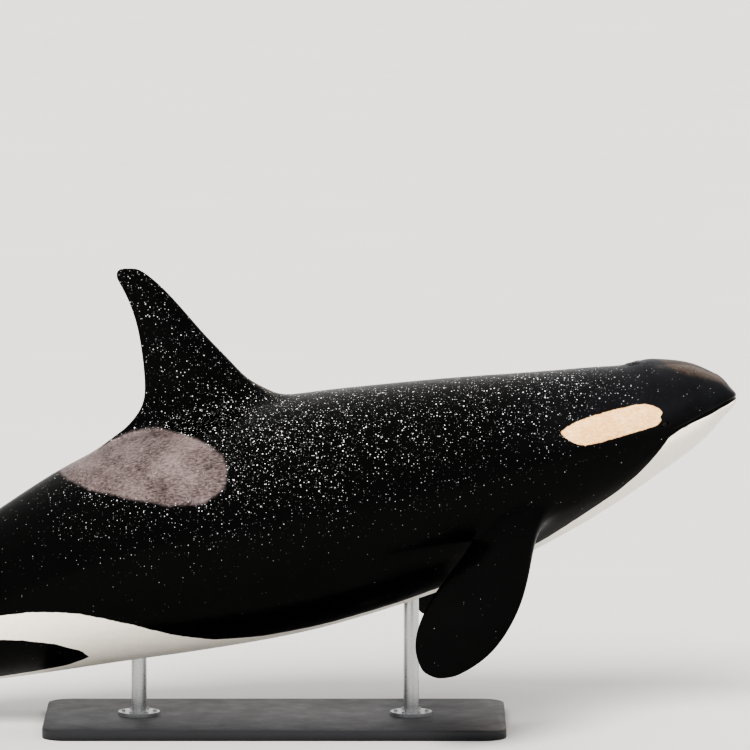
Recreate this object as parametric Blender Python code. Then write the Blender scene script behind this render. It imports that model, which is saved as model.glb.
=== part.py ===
"""Life-size model of an adult female orca, swimming, held by a plain display stand.

The body, fins and flukes are one cage of four-sided faces, smoothed by Subdivision Surface.
The cage is laid out straight along the spine, bent to the swimming pose, and then parted along
its own edge loops into the nodes that a person would name. Metres, +Z up, the head towards +X.
"""

import math

import bmesh
import bpy
import numpy as np
from mathutils import Matrix, Vector

# Driving sizes of the animal, in metres from the tip of the snout unless a line says otherwise.
BODY_LENGTH = 5.80
SNOUT_HEIGHT = 1.66
TRUNK_PITCH = 13.0
GAP = 0.0004
SMOOTH_LEVELS = 1
SOLVE_ROUNDS = 8
CREASE_ANGLE = 40
AXIS_STEP = 0.01

# Pitch of the spine, nose up, in degrees: straight to the dorsal fin, arched behind it, and the
# tail stock lifting again into the flukes.
PITCH = [
    (0.0, TRUNK_PITCH), (1.2, TRUNK_PITCH), (2.1, TRUNK_PITCH), (2.8, 17.6), (3.4, 22.0),
    (4.1, 19.0), (4.8, 10.5), (5.3, 5.0), (BODY_LENGTH, 3.0),
]

# Distance from the snout, then back above the snout line, belly below it, half width, height of
# the widest line, and how square the upper and the lower half are (2 is an ellipse).
SECTIONS = [
    (0.09, 0.137, -0.092, 0.118, 0.010, 2.05, 2.05),
    (0.17, 0.197, -0.150, 0.176, 0.015, 2.05, 2.10),
    (0.25, 0.235, -0.197, 0.217, 0.015, 2.05, 2.15),
    (0.33, 0.261, -0.234, 0.249, 0.010, 2.05, 2.15),
    (0.42, 0.277, -0.272, 0.280, 0.000, 2.05, 2.15),
    (0.49, 0.273, -0.300, 0.302, -0.012, 2.05, 2.15),
    (0.60, 0.286, -0.346, 0.330, -0.030, 2.05, 2.15),
    (0.78, 0.314, -0.412, 0.373, -0.050, 2.05, 2.10),
    (1.00, 0.347, -0.481, 0.423, -0.070, 2.05, 2.10),
    (1.30, 0.394, -0.556, 0.480, -0.085, 2.05, 2.10),
    (1.65, 0.440, -0.618, 0.530, -0.090, 2.05, 2.10),
    (2.00, 0.480, -0.655, 0.556, -0.090, 2.05, 2.10),
    (2.35, 0.510, -0.668, 0.560, -0.085, 2.00, 2.10),
    (2.70, 0.520, -0.645, 0.540, -0.070, 1.95, 2.10),
    (3.05, 0.508, -0.595, 0.495, -0.050, 1.90, 2.05),
    (3.40, 0.462, -0.520, 0.428, -0.035, 1.85, 2.00),
    (3.80, 0.380, -0.425, 0.340, -0.020, 1.80, 1.90),
    (4.25, 0.295, -0.318, 0.240, -0.010, 1.72, 1.78),
    (4.70, 0.222, -0.230, 0.155, -0.004, 1.64, 1.66),
    (5.05, 0.178, -0.178, 0.110, 0.000, 1.60, 1.60),
    (5.28, 0.134, -0.128, 0.102, 0.002, 1.65, 1.65),
    (5.41, 0.094, -0.086, 0.104, 0.003, 1.75, 1.75),
    (5.54, 0.064, -0.055, 0.104, 0.003, 1.85, 1.85),
    (5.665, 0.038, -0.030, 0.100, 0.003, 1.90, 1.90),
    (5.79, 0.013, -0.007, 0.090, 0.003, 2.00, 2.00),
    (5.8165, 0.009, -0.003, 0.055, 0.003, 2.00, 2.00),
]

# Rings of the cage from the snout to the flippers, to the fin, to the flukes, and behind them.
# A node ends at the last ring of the head and of the chest, and at STOCK_CUT.
HEAD_RINGS = (0.09, 0.14, 0.19, 0.24, 0.29, 0.345, 0.40, 0.465, 0.545, 0.64, 0.76, 0.90)
CHEST_RINGS = (1.62, 1.82, 2.02)
TAIL_RINGS = (3.25, 3.42, 3.66, 3.95, 4.25, 4.55, 4.83, 5.08)
END_RINGS = (5.8165,)
STOCK_CUT = TAIL_RINGS[1]

# Where the blades stand on the body, as the stations of their roots.
DORSAL_ROOT = (2.20, 3.12)
FLIPPER_ROOT = (1.08, 1.44)
FLUKE_ROOT = (5.28, 5.79)
DORSAL_STEPS = (0.0, 0.16, 0.38, 0.62, 0.85, 1.0)
SIDE_STEPS = (0.0, 0.25, 0.50, 0.75, 1.0)
# A root is narrower at its ends, by this share and this power of a sine.
ROOT_END = 0.55
ROOT_ROUND = 0.6
# Section of a blade: share of the chord from its front edge, and share of its half thickness.
DORSAL_PROFILE = ((0.035, 0.48), (0.16, 0.90), (0.38, 1.0), (0.62, 0.80), (0.84, 0.44), (0.965, 0.18))
SIDE_PROFILE = ((0.045, 0.52), (0.24, 0.97), (0.50, 0.92), (0.77, 0.58), (0.955, 0.24))

# Head. The mouth line starts at the snout and falls back to its corner.
GAPE = 0.40
MOUTH_SLOPE = math.tan(math.radians(11.0))
LIP_SPREAD = 0.012
LIP_ROWS = (0.0, 1.0, 2.6, 6.4)
MOUTH_DEPTH = 0.016
SNOUT_PROFILE = [
    (0.090, 0.137), (0.063, 0.114), (0.042, 0.085), (0.027, 0.053), (0.012, 0.024), (-0.006, 0.003),
]
CHIN_PROFILE = [(0.0, -0.010), (0.017, -0.035), (0.048, -0.064), (0.090, -0.092)]
MOUTH_FRONT = (0.005, -0.0035)
COLUMN_SHARES = (0.62, 0.0, -0.62)
EYE_STATION = 0.385
EYE_HEIGHT = -0.026
EYE_RADIUS = 0.025
EYE_SINK = 0.0205
EYE_FACES = (20, 12)
LID_RADIUS = 0.0055
LID_HALF_LENGTH = 0.0240
LID_HALF_HEIGHT = 0.0155
LID_SINK = 0.002
LID_RISE = 0.003
BLOWHOLE_STATION = 0.485
BLOWHOLE_OFFSET = 0.012
BLOWHOLE_RADIUS = 0.050
BLOWHOLE_WIDTH = 0.0075
BLOWHOLE_SWEEP = 150.0
BLOWHOLE_BOW = 0.8
BLOWHOLE_STEPS = 12
CROWN_DROP = 0.28
TUBE_SIDES = 8

# Rows of the cage on one side: 0 is the crown and SIDE_ROWS the keel.
SIDE_ROWS = 12
MOUTH_ROW = 7
FLIPPER_ROWS = (8, 10)
FLIPPER_ANGLE = 122.0
FLIPPER_SPREAD = 10.0
FLIPPER_WIDENING = 3.3
FLIPPER_WIDEST = 1.5
FLUKE_ROWS = (5, 7)
FLUKE_SPREAD = 38.0
DORSAL_SPREAD = 13.5
# Lengths over which the rows gather towards the mouth, the flippers, the fin and the flukes.
MOUTH_FADE = 0.30
MOUTH_RUN_OUT = 0.12
FLIPPER_FADE = 0.50
DORSAL_FADE = 0.30
FLUKE_FADE = 0.40

# Dorsal fin as photographed, level with the horizon: front and rear edge of each chord from the
# root up, as metres behind the snout and above it, and half the thickness there.
DORSAL_CHORDS = [
    ((2.345, 0.034), (3.090, -0.201), 0.084),
    ((2.440, 0.090), (3.034, -0.156), 0.065),
    ((2.531, 0.182), (2.962, -0.056), 0.053),
    ((2.640, 0.295), (2.947, 0.085), 0.044),
    ((2.742, 0.412), (2.968, 0.270), 0.035),
    ((2.842, 0.522), (3.000, 0.405), 0.026),
    ((2.925, 0.596), (3.040, 0.505), 0.018),
    ((2.978, 0.628), (3.072, 0.566), 0.011),
]
DORSAL_TIP = (3.072, 0.625)

# Flipper: share of its length, then front and rear edge along the body, and half thickness.
FLIPPER_LENGTH = 0.94
FLIPPER_LEAN = (-0.42, 0.66, -0.62)
FLIPPER_CHORDS = [
    (0.12, 0.168, -0.150, 0.054),
    (0.25, 0.182, -0.182, 0.043),
    (0.40, 0.192, -0.228, 0.037),
    (0.55, 0.186, -0.262, 0.031),
    (0.71, 0.156, -0.272, 0.025),
    (0.85, 0.096, -0.246, 0.018),
    (0.95, 0.014, -0.192, 0.010),
]
FLIPPER_TIP = (1.0, -0.095)

# Fluke: distance from the midline, then front and rear edge as stations, and half thickness.
FLUKE_CHORDS = [
    (0.150, 5.335, 5.838, 0.034),
    (0.235, 5.385, 5.876, 0.030),
    (0.335, 5.455, 5.892, 0.026),
    (0.445, 5.550, 5.898, 0.020),
    (0.555, 5.658, 5.904, 0.015),
    (0.650, 5.765, 5.918, 0.010),
    (0.718, 5.856, 5.942, 0.006),
]
FLUKE_TIP = (0.752, 5.950)
FLUKE_DROOP = 0.035
FLUKE_RISE = 0.003
# Between the flukes the back is a low ridge, and the body ends in the notch of their rear edges.
RIDGE_SHARE = 0.85
ROOT_EDGE = 0.10
NOTCH_DEPTH = 0.055
NOTCH_HALF = 0.090
END_ROUND = 0.009
END_THIN = 0.6

# Display stand.
BASE_SIZE = (2.30, 1.00, 0.05)
BASE_CENTRE = -2.30
BASE_CORNER = 0.12
BASE_CORNER_FACES = 10
BASE_EDGE = 0.006
ROD_RADIUS = 0.038
ROD_SIDES = 32
ROD_PLACES = {"front": -1.62, "rear": -2.98}
FLANGE_RADIUS = 0.105
FLANGE_HEIGHT = 0.018

COLOURS = {
    "head": (0.012, 0.012, 0.013, 0.30), "lower_jaw": (0.80, 0.72, 0.62, 0.35),
    "thorax": (0.012, 0.012, 0.013, 0.30), "loin": (0.012, 0.012, 0.013, 0.30),
    "tail_stock": (0.012, 0.012, 0.013, 0.30), "dorsal_fin": (0.010, 0.010, 0.011, 0.30),
    "flipper": (0.010, 0.010, 0.011, 0.30), "fluke": (0.014, 0.014, 0.015, 0.30),
    "eye": (0.020, 0.014, 0.010, 0.06), "stand_base": (0.030, 0.030, 0.032, 0.55),
    "stand_rod": (0.55, 0.56, 0.57, 0.30), "stand_flange": (0.55, 0.56, 0.57, 0.30),
}
METAL_NODES = ("stand_rod", "stand_flange")
FLESH_NODES = (
    "head", "lower_jaw", "thorax", "loin", "tail_stock", "dorsal_fin",
    "flipper_left", "flipper_right", "fluke_left", "fluke_right",
)


def smooth_curve(rows):
    """A natural cubic spline through rows of (place, value, ...)."""
    rows = np.array(rows, float)
    places, values = rows[:, 0], rows[:, 1:]
    count = len(places)
    steps = np.diff(places)
    system = np.eye(count)
    right = np.zeros_like(values)
    for k in range(1, count - 1):
        system[k, k - 1 : k + 2] = steps[k - 1], 2 * (steps[k - 1] + steps[k]), steps[k]
        rise = (values[k + 1] - values[k]) / steps[k] - (values[k] - values[k - 1]) / steps[k - 1]
        right[k] = 6 * rise
    bend = np.linalg.solve(system, right)

    def value(place):
        k = min(max(int(np.searchsorted(places, place)) - 1, 0), count - 2)
        h, a, b = steps[k], places[k + 1] - place, place - places[k]
        cubic = (bend[k] * a**3 + bend[k + 1] * b**3) / (6 * h)
        before, behind = values[k] / h - bend[k] * h / 6, values[k + 1] / h - bend[k + 1] * h / 6
        return cubic + before * a + behind * b

    return value


def ease(x):
    """0 to 1 with soft ends, for x from 0 to 1."""
    x = min(max(x, 0.0), 1.0)
    return x * x * (3 - 2 * x)


def plateau(s, first, last, fade):
    """1 between two stations, easing to 0 over a length on each side."""
    return ease((s - first) / fade + 1) * ease((last - s) / fade + 1)


def taper(s, first, last):
    """Narrows a blade's root towards its two ends."""
    share = min(max((s - first) / (last - first), 0.0), 1.0)
    return ROOT_END + (1 - ROOT_END) * math.sin(math.pi * share) ** ROOT_ROUND


section_at = smooth_curve(SECTIONS)
pitch_at = smooth_curve(PITCH)
AXIS_PLACES = np.arange(-0.2, BODY_LENGTH + 0.4, AXIS_STEP)


def axis_line():
    """The bent axis as (x, z) at each of AXIS_PLACES, with the snout tip at (0, SNOUT_HEIGHT)."""
    angles = np.radians([float(pitch_at(min(max(s, 0.0), BODY_LENGTH))[0]) for s in AXIS_PLACES])
    steps = np.stack([-np.cos(angles), -np.sin(angles)], 1) * AXIS_STEP
    line = np.vstack([[0, 0], np.cumsum((steps[1:] + steps[:-1]) / 2, axis=0)])
    zero = np.array([np.interp(0, AXIS_PLACES, line[:, k]) for k in (0, 1)])
    return line - zero + [0, SNOUT_HEIGHT]


AXIS = axis_line()


def frame_at(s):
    """Origin on the axis, forward direction and up direction at a station."""
    origin = np.array([np.interp(s, AXIS_PLACES, AXIS[:, 0]), 0, np.interp(s, AXIS_PLACES, AXIS[:, 1])])
    angle = math.radians(float(pitch_at(min(max(s, 0.0), BODY_LENGTH))[0]))
    forward = np.array([math.cos(angle), 0, math.sin(angle)])
    up = np.array([-math.sin(angle), 0, math.cos(angle)])
    return origin, forward, up


def placed(s, side, height):
    """World point of a place given by its station, its distance to the left and its height."""
    origin, _, up = frame_at(s)
    return origin + up * height + np.array([0, side, 0])


def section_point(s, angle):
    """Half width and height of the skin at a station, 0 degrees at the crown, 180 at the keel."""
    top, belly, half, middle, upper_power, lower_power = section_at(s)
    sine, cosine = math.sin(math.radians(angle)), math.cos(math.radians(angle))
    power = upper_power if cosine >= 0 else lower_power
    reach = top - middle if cosine >= 0 else middle - belly
    height = middle + math.copysign(reach * abs(cosine) ** (2 / power), cosine)
    return math.copysign(half * abs(sine) ** (2 / power), sine), height


def angle_at_height(s, height):
    """The angle below the widest line at which the section has a height."""
    _, belly, _, middle, _, power = section_at(s)
    share = min(max((middle - height) / (middle - belly), 0.0), 1.0)
    return 180.0 - math.degrees(math.acos(share ** (power / 2)))


def mouth_height(s):
    return -0.004 - MOUTH_SLOPE * s


def spaced(anchors):
    """Angles of all rows, evenly spaced between anchor rows."""
    rows = sorted(anchors)
    return np.interp(range(SIDE_ROWS + 1), rows, [anchors[r] for r in rows])


def row_angles(s):
    """The angle of each row at a station, drawn together at the mouth and at the blade roots."""
    even = spaced({0: 0.0, SIDE_ROWS: 180.0})
    mouth = angle_at_height(min(s, GAPE), mouth_height(min(s, GAPE)))
    half = float(section_at(s)[2])
    lip = math.degrees(LIP_SPREAD / half)
    lips = {MOUTH_ROW + n: mouth + LIP_ROWS[abs(n)] * math.copysign(lip, n) for n in range(-3, 4)}
    at_mouth = spaced({0: 0.0, SIDE_ROWS: 180.0, **lips})
    first, last = FLIPPER_ROWS
    outside = max(FLIPPER_ROOT[0] - s, s - FLIPPER_ROOT[1], 0)
    spread = FLIPPER_SPREAD * min(taper(s, *FLIPPER_ROOT) + FLIPPER_WIDENING * outside, FLIPPER_WIDEST)
    at_flipper = {0: 0.0, first: FLIPPER_ANGLE - spread, last: FLIPPER_ANGLE + spread, SIDE_ROWS: 180.0}
    at_flipper = spaced(at_flipper)
    at_dorsal = spaced({0: 0.0, 1: DORSAL_SPREAD * taper(s, *DORSAL_ROOT), SIDE_ROWS: 180.0})
    first, last = FLUKE_ROWS
    at_fluke = spaced({0: 0.0, first: 90.0 - FLUKE_SPREAD, last: 90.0 + FLUKE_SPREAD, SIDE_ROWS: 180.0})
    angles = even + (at_flipper - even) * ease((FLIPPER_ROOT[1] + FLIPPER_FADE - s) / FLIPPER_FADE)
    angles += (at_mouth - angles) * ease((GAPE + MOUTH_FADE - s) / MOUTH_FADE)
    angles += (at_dorsal - even) * plateau(s, *DORSAL_ROOT, DORSAL_FADE)
    angles += (at_fluke - even) * ease((s - FLUKE_ROOT[0]) / FLUKE_FADE + 1)
    return angles


def over_flukes(s, row, width, height):
    """Half width and height where the flukes stand: a ridge above and below that runs out in them."""
    middle = SIDE_ROWS // 2
    share = (s - FLUKE_ROOT[0]) / (FLUKE_ROOT[1] - FLUKE_ROOT[0])
    if share <= 0 or row == middle:
        return width, height
    top, belly, half = section_at(s)[:3]
    places, thick = zip(*SIDE_PROFILE)
    wing = FLUKE_CHORDS[0][3] * np.interp(share, (0, *places, 1), (thick[0], *thick, ROOT_EDGE))
    crest, wing = (top, FLUKE_RISE + wing) if row < middle else (belly, FLUKE_RISE - wing)
    turn = min(row, SIDE_ROWS - row) / FLUKE_ROWS[0]
    blend = ease(2 * share)
    ridge = wing + (crest - wing) * (1 + math.cos(math.pi * turn)) / 2
    return width + (RIDGE_SHARE * half * turn - width) * blend, height + (ridge - height) * blend


def notch_shift(s, width):
    """How far ahead of its station a point near the notch lies."""
    share = ease((s - FLUKE_ROOT[0]) / (FLUKE_ROOT[1] - FLUKE_ROOT[0]))
    return NOTCH_DEPTH * share * max(1 - (width / NOTCH_HALF) ** 2, 0)


def ring_shape(s):
    """Half width and height of each row at a station, with the groove of the mouth."""
    shape = []
    for k, angle in enumerate(row_angles(s)):
        width, height = over_flukes(s, k, *section_point(s, angle))
        if k == MOUTH_ROW:
            width -= MOUTH_DEPTH * ease((GAPE - 0.01 - s) / MOUTH_RUN_OUT)
        shape.append((width, height))
    return shape


def stations():
    """Stations of the cage rings, denser on the head, and the index of each blade root."""
    along = list(HEAD_RINGS)
    roots = {}
    for name, root, steps, after in (
        ("flipper", FLIPPER_ROOT, SIDE_STEPS, CHEST_RINGS),
        ("dorsal", DORSAL_ROOT, DORSAL_STEPS, TAIL_RINGS),
        ("fluke", FLUKE_ROOT, SIDE_STEPS, END_RINGS),
    ):
        roots[name] = len(along)
        along += [root[0] + (root[1] - root[0]) * step for step in steps]
        along += after
    return along, roots


class Cage:
    """Points that the smooth surface passes through, and four-sided faces, each with its node."""

    def __init__(self):
        self.points = []
        self.loose = []
        self.faces = []
        self.nodes = []

    def point(self, place, loose=False):
        """A loose point is only drawn towards, which keeps narrow folds free of ripples."""
        self.points.append(np.array(place, float))
        self.loose.append(loose)
        return len(self.points) - 1

    def face(self, corners, node):
        self.faces.append(tuple(corners))
        self.nodes.append(node)

    def blade(self, root, loops, body_node, blade_node):
        """Joins a root loop of existing points to the blade's own loops; returns the last one.

        The root's own points are loose, which rounds the hollow between body and blade."""
        for corner in root:
            self.loose[corner] = True
        last = root
        for number, loop in enumerate(loops):
            new = [self.point(p) for p in loop]
            node = body_node if number == 0 else blade_node
            for k in range(len(new)):
                after = (k + 1) % len(new)
                self.face((last[k], last[after], new[after], new[k]), node)
            last = new
        return last

    def control_points(self):
        """Moves the cage out until the smooth surface passes through its points."""
        target = np.array(self.points)
        quads = np.array(self.faces)
        valence = np.maximum(np.bincount(quads.ravel(), minlength=len(target)), 1)[:, None]
        held = ~np.array(self.loose)[:, None]
        cage = target.copy()
        for _ in range(SOLVE_ROUNDS):
            edges, corners = np.zeros_like(cage), np.zeros_like(cage)
            for k in range(4):
                np.add.at(edges, quads[:, k], (cage[quads[:, k - 1]] + cage[quads[:, (k + 1) % 4]]) / 2)
                np.add.at(corners, quads[:, k], cage[quads[:, (k + 2) % 4]])
            limit = (valence**2 * cage + 4 * edges + corners) / (valence * (valence + 5))
            cage += np.where(held, target - limit, 0)
        return cage


def blade_loop(front, rear, thick, profile):
    """Points round a blade's section: one face, the rear edge, the other face, the front edge."""
    one = [front + (rear - front) * c + thick * g for c, g in profile]
    other = [front + (rear - front) * c - thick * g for c, g in profile]
    return one + [rear] + other[::-1] + [front]


def build_cage():
    cage = Cage()
    along, roots = stations()
    around = 2 * SIDE_ROWS
    ring = []
    for s in along:
        shape = ring_shape(s)
        row = []
        for j in range(around):
            side = 1 if j <= SIDE_ROWS else -1
            k = j if j <= SIDE_ROWS else around - j
            width, height = shape[k]
            loose = abs(k - MOUTH_ROW) < 2 and s < GAPE + 0.10
            row.append(cage.point(placed(s - notch_shift(s, width), side * width, height), loose))
        ring.append(row)

    def node_of(i, k):
        """The node of the face between stations i and i + 1 and rows k and k + 1 of a side."""
        if along[i + 1] <= GAPE + 1e-6 and k >= MOUTH_ROW:
            return "lower_jaw"
        for name, end in (("head", HEAD_RINGS[-1]), ("thorax", CHEST_RINGS[-1]), ("loin", STOCK_CUT)):
            if along[i + 1] <= end + 1e-6:
                return name
        return "tail_stock"

    def removed(i, k):
        """Faces that a blade root takes the place of."""
        dorsal, flipper, fluke = roots["dorsal"], roots["flipper"], roots["fluke"]
        return (
            (dorsal <= i < dorsal + len(DORSAL_STEPS) - 1 and k == 0)
            or (flipper <= i < flipper + len(SIDE_STEPS) - 1 and FLIPPER_ROWS[0] <= k < FLIPPER_ROWS[1])
            or (fluke <= i < fluke + len(SIDE_STEPS) - 1 and FLUKE_ROWS[0] <= k < FLUKE_ROWS[1])
        )

    for i in range(len(along) - 1):
        for j in range(around):
            k = j if j < SIDE_ROWS else around - 1 - j
            if not removed(i, k):
                after = (j + 1) % around
                cage.face((ring[i][j], ring[i][after], ring[i + 1][after], ring[i + 1][j]), node_of(i, k))
    close_snout(cage, ring[0], along[0])
    close_end(cage, ring[-1], along[-1])
    add_dorsal(cage, ring, roots["dorsal"])
    for side in (1, -1):
        add_flipper(cage, ring, roots["flipper"], side)
        add_fluke(cage, ring, roots["fluke"], side)
    return cage


def close_snout(cage, ring, s0):
    """Rows of the first ring carried round the front of the snout from left to right."""
    upper = np.array(SNOUT_PROFILE)
    chin = np.array(CHIN_PROFILE)
    angles = row_angles(s0)
    columns = []
    for k in range(1, SIDE_ROWS):
        if k < MOUTH_ROW:
            share = k / (MOUTH_ROW - 1) * (len(upper) - 1)
            s, h = (np.interp(share, range(len(upper)), upper[:, n]) for n in (0, 1))
        elif k == MOUTH_ROW:
            s, h = MOUTH_FRONT
        else:
            share = (k - MOUTH_ROW - 1) / (SIDE_ROWS - MOUTH_ROW - 1) * (len(chin) - 1)
            s, h = (np.interp(share, range(len(chin)), chin[:, n]) for n in (0, 1))
        width, height = section_point(s0, angles[k])
        if k == MOUTH_ROW:
            width -= MOUTH_DEPTH
        between = []
        for share in COLUMN_SHARES:
            blend = 1 - math.sqrt(1 - share**2)
            place = placed(s + (s0 - s) * blend, share * width, h + (height - h) * blend)
            between.append(cage.point(place, abs(k - MOUTH_ROW) < 2))
        columns.append((ring[k], *between, ring[2 * SIDE_ROWS - k]))
    for k in range(len(columns) - 1):
        node = "lower_jaw" if k + 1 >= MOUTH_ROW else "head"
        for c in range(4):
            cage.face((columns[k][c], columns[k][c + 1], columns[k + 1][c + 1], columns[k + 1][c]), node)
    crown, keel = ring[0], ring[SIDE_ROWS]
    first, last = columns[0], columns[-1]
    cage.face((crown, first[2], first[1], first[0]), "head")
    cage.face((crown, first[4], first[3], first[2]), "head")
    cage.face((keel, last[0], last[1], last[2]), "lower_jaw")
    cage.face((keel, last[2], last[3], last[4]), "lower_jaw")


def close_end(cage, ring, s0):
    """The last small ring closed behind by a middle line, at the notch of the flukes."""
    middle = []
    for k, (_, height) in enumerate(ring_shape(s0)[1:-1]):
        station = s0 - notch_shift(s0, 0) + END_ROUND * math.sin(math.pi * (k + 1) / SIDE_ROWS)
        middle.append(cage.point(placed(station, 0, FLUKE_RISE + (height - FLUKE_RISE) * END_THIN)))
    lines = [(ring[k], middle[k - 1], ring[2 * SIDE_ROWS - k]) for k in range(1, SIDE_ROWS)]
    for k in range(len(lines) - 1):
        for c in range(2):
            cage.face((lines[k][c], lines[k + 1][c], lines[k + 1][c + 1], lines[k][c + 1]), "tail_stock")
    cage.face((ring[0], lines[0][0], lines[0][1], lines[0][2]), "tail_stock")
    cage.face((ring[SIDE_ROWS], lines[-1][2], lines[-1][1], lines[-1][0]), "tail_stock")


def add_dorsal(cage, ring, first):
    last = first + len(DORSAL_STEPS) - 1
    left = [ring[i][1] for i in range(first, last + 1)]
    right = [ring[i][2 * SIDE_ROWS - 1] for i in range(first, last + 1)]
    root = [*left, ring[last][0], *right[::-1], ring[first][0]]
    loops = []
    for front, rear, half in DORSAL_CHORDS:
        front = np.array([-front[0], 0, SNOUT_HEIGHT + front[1]])
        rear = np.array([-rear[0], 0, SNOUT_HEIGHT + rear[1]])
        loops.append(blade_loop(front, rear, np.array([0, half, 0]), DORSAL_PROFILE))
    top = cage.blade(root, loops, "loin", "dorsal_fin")
    crest = np.array([-DORSAL_TIP[0], 0, SNOUT_HEIGHT + DORSAL_TIP[1]])
    close_tip(cage, top, front, rear, crest, DORSAL_PROFILE, "dorsal_fin")


def close_tip(cage, loop, front, rear, crest, profile, node):
    """A middle row over a blade's last loop, arched through the tip, with a face on each side."""
    count = len(profile)
    top = crest - (front + rear) / 2
    middle = []
    for c, _ in profile[1:-1]:
        middle.append(cage.point(front + (rear - front) * c + top * 4 * c * (1 - c)))
    one, back = loop[:count], loop[count]
    other, ahead = loop[count + 1 : 2 * count + 1][::-1], loop[2 * count + 1]
    line = [ahead, *middle, back]
    for k in range(count - 1):
        cage.face((one[k], one[k + 1], line[k + 1], line[k]), node)
        cage.face((other[k + 1], other[k], line[k], line[k + 1]), node)


def side_root(ring, first, rows, side):
    """The loop of body points round a blade root on one side."""
    def at(i, row):
        return ring[i][row if side > 0 else 2 * SIDE_ROWS - row]

    span = range(first, first + len(SIDE_STEPS))
    upper = [at(i, rows[0]) for i in span]
    lower = [at(i, rows[1]) for i in span]
    middle = (rows[0] + rows[1]) // 2
    return upper + [at(span[-1], middle)] + lower[::-1] + [at(first, middle)]


def add_flipper(cage, ring, first, side):
    name = "flipper_left" if side > 0 else "flipper_right"
    root_station = sum(FLIPPER_ROOT) / 2
    origin, forward, up = frame_at(root_station)
    width, height = section_point(root_station, FLIPPER_ANGLE)
    left = np.array([0, side, 0])
    start = origin + left * width + up * height
    span = forward * FLIPPER_LEAN[0] + left * FLIPPER_LEAN[1] + up * FLIPPER_LEAN[2]
    span /= np.linalg.norm(span)
    chord = forward - span * (forward @ span)
    chord /= np.linalg.norm(chord)
    normal = np.cross(chord, span) * side
    normal = normal if normal @ up > 0 else -normal
    loops = []
    for share, ahead, behind, half in FLIPPER_CHORDS:
        middle = start + span * FLIPPER_LENGTH * share
        edges = middle + chord * ahead, middle + chord * behind
        loops.append(blade_loop(*edges, normal * half, SIDE_PROFILE))
    top = cage.blade(side_root(ring, first, FLIPPER_ROWS, side), loops, "thorax", name)
    crest = start + span * FLIPPER_LENGTH * FLIPPER_TIP[0] + chord * FLIPPER_TIP[1]
    close_tip(cage, top, *edges, crest, SIDE_PROFILE, name)


def add_fluke(cage, ring, first, side):
    name = "fluke_left" if side > 0 else "fluke_right"
    station = sum(FLUKE_ROOT) / 2
    origin, forward, up = frame_at(station)
    left = np.array([0, side, 0])

    def at(distance, s):
        droop = FLUKE_DROOP * (distance / FLUKE_TIP[0]) ** 2
        return origin - forward * (s - station) + left * distance + up * (FLUKE_RISE - droop)

    loops = [
        blade_loop(at(distance, ahead), at(distance, behind), up * half, SIDE_PROFILE)
        for distance, ahead, behind, half in FLUKE_CHORDS
    ]
    top = cage.blade(side_root(ring, first, FLUKE_ROWS, side), loops, "tail_stock", name)
    distance, ahead, behind, _ = FLUKE_CHORDS[-1]
    close_tip(cage, top, at(distance, ahead), at(distance, behind), at(*FLUKE_TIP), SIDE_PROFILE, name)


def material(name, key):
    red, green, blue, roughness = COLOURS[key]
    made = bpy.data.materials.new(name)
    made.use_nodes = True
    shader = made.node_tree.nodes["Principled BSDF"]
    shader.inputs["Base Color"].default_value = (red, green, blue, 1)
    shader.inputs["Roughness"].default_value = roughness
    shader.inputs["Metallic"].default_value = 1.0 if key in METAL_NODES else 0.0
    made.diffuse_color = (red, green, blue, 1)
    return made


def new_object(name, mesh, key):
    obj = bpy.data.objects.new(name, mesh)
    bpy.context.scene.collection.objects.link(obj)
    mesh.materials.clear()
    mesh.materials.append(material(name, key))
    mesh.polygons.foreach_set("material_index", [0] * len(mesh.polygons))
    return obj


def evaluated_mesh(obj):
    graph = bpy.context.evaluated_depsgraph_get()
    return bpy.data.meshes.new_from_object(obj.evaluated_get(graph))


def smooth_body(cage):
    """The smoothed cage as points, faces, and the node of each face."""
    mesh = bpy.data.meshes.new("whole")
    mesh.from_pydata([tuple(p) for p in cage.control_points()], [], cage.faces)
    for name in FLESH_NODES:
        mesh.materials.append(bpy.data.materials.new(f"tag_{name}"))
    mesh.polygons.foreach_set("material_index", [FLESH_NODES.index(n) for n in cage.nodes])
    shape = bmesh.new()
    shape.from_mesh(mesh)
    bmesh.ops.recalc_face_normals(shape, faces=shape.faces)
    shape.to_mesh(mesh)
    shape.free()
    whole = bpy.data.objects.new("whole", mesh)
    bpy.context.scene.collection.objects.link(whole)
    smoothing = whole.modifiers.new("smooth", "SUBSURF")
    smoothing.levels = smoothing.render_levels = SMOOTH_LEVELS
    smooth = evaluated_mesh(whole)
    points = np.array([v.co for v in smooth.vertices], float)
    faces = [tuple(p.vertices) for p in smooth.polygons]
    nodes = [FLESH_NODES[p.material_index] for p in smooth.polygons]
    bpy.data.objects.remove(whole)
    bpy.data.meshes.remove(smooth)
    bpy.data.meshes.remove(mesh)
    for name in FLESH_NODES:
        bpy.data.materials.remove(bpy.data.materials[f"tag_{name}"])
    return points, faces, nodes


def open_loops(faces):
    """The loops of edges that only one face has, each in that face's own direction."""
    edges = {(f[k - 1], f[k]) for f in faces for k in range(len(f))}
    following = {a: b for a, b in edges if (b, a) not in edges}
    loops = []
    while following:
        start, after = following.popitem()
        loop = [start]
        while after != start:
            loop.append(after)
            after = following.pop(after)
        loops.append(loop)
    return loops


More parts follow.
